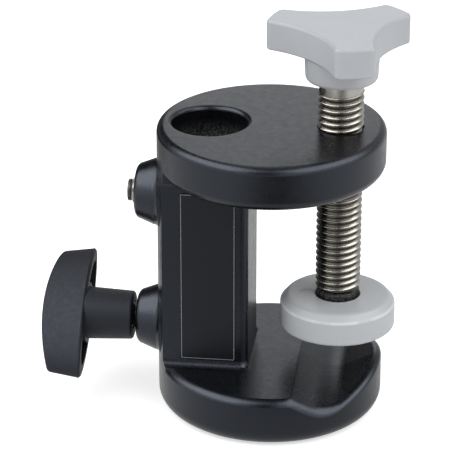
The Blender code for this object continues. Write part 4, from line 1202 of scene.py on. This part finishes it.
profile += [(BUTTON_RADIUS, BUTTON_LOW + BUTTON_EDGE), (BUTTON_RADIUS, BUTTON_SIDE)]
profile += arc((BUTTON_RADIUS - BUTTON_ROUND, BUTTON_TOP - BUTTON_ROUND), BUTTON_ROUND, 0, 90, 5)
profile += [(DISH_RADIUS, BUTTON_TOP), (BUTTON_BORE, BUTTON_TOP - DISH_DEPTH)]
button = lathe("pull_button", profile, 64, safety_foot, outward)
smooth(button, 30)
dress(button, dark_steel, "safety", "steel", "safety_button")
SHANK_RADIUS = 1.0
SHANK_EDGE = 0.1
STEP_RADIUS = 2.3
STEP_TOP = 11.75
STEP_LOW = 10.95
TIP_RADIUS = 1.5
TIP_ROUND = 0.4
TIP_END = 6.95
profile = [(0.0, BUTTON_TOP), (SHANK_RADIUS - SHANK_EDGE, BUTTON_TOP)]
profile += [(SHANK_RADIUS, BUTTON_TOP - SHANK_EDGE), (SHANK_RADIUS, STEP_TOP)]
profile += [(STEP_RADIUS, STEP_TOP), (STEP_RADIUS, STEP_LOW), (TIP_RADIUS, STEP_LOW)]
profile += arc((TIP_RADIUS - TIP_ROUND, TIP_END + TIP_ROUND), TIP_ROUND, 0, -90, 5)
pin = lathe("sprung_pin", [*profile, (0.0, TIP_END)], 64, safety_foot, outward)
smooth(pin, 30)
dress(pin, nickel, "safety", "steel", "safety_pin")

# The safety spring: a small coil of spring steel wire between the pin's collar and the bush. It
# is squeezed against the bush as the button is pulled.
SPRING_LOW = 12.05
SPRING_HIGH = 15.1
SPRING_RADIUS = 2.1
SPRING_TURNS = 3
WIRE_RADIUS = 0.2
COIL_STEPS = 32
wire = arc((SPRING_RADIUS, SPRING_LOW + WIRE_RADIUS), WIRE_RADIUS, 0, 360, 10)[:-1]
spring = outline("coil_spring", [(across, 0.0, z) for across, z in wire])
coil = spring.modifiers.new("coil", "SCREW")
coil.iterations = SPRING_TURNS
coil.screw_offset = (SPRING_HIGH - SPRING_LOW - 2 * WIRE_RADIUS) / SPRING_TURNS * MM
coil.steps = COIL_STEPS
coil.render_steps = COIL_STEPS
bpy.ops.object.modifier_apply(modifier=coil.name)
select(spring, "EDGE", lambda edge: edge.is_boundary)
bpy.ops.mesh.fill_holes(sides=0)
tidy_mesh()
settle(spring, OUTWARD_TURN, safety_foot)
smooth(spring, 50)
dress(spring, nickel, "frame", "steel", "safety_spring")
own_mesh(spring)

low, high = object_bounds()
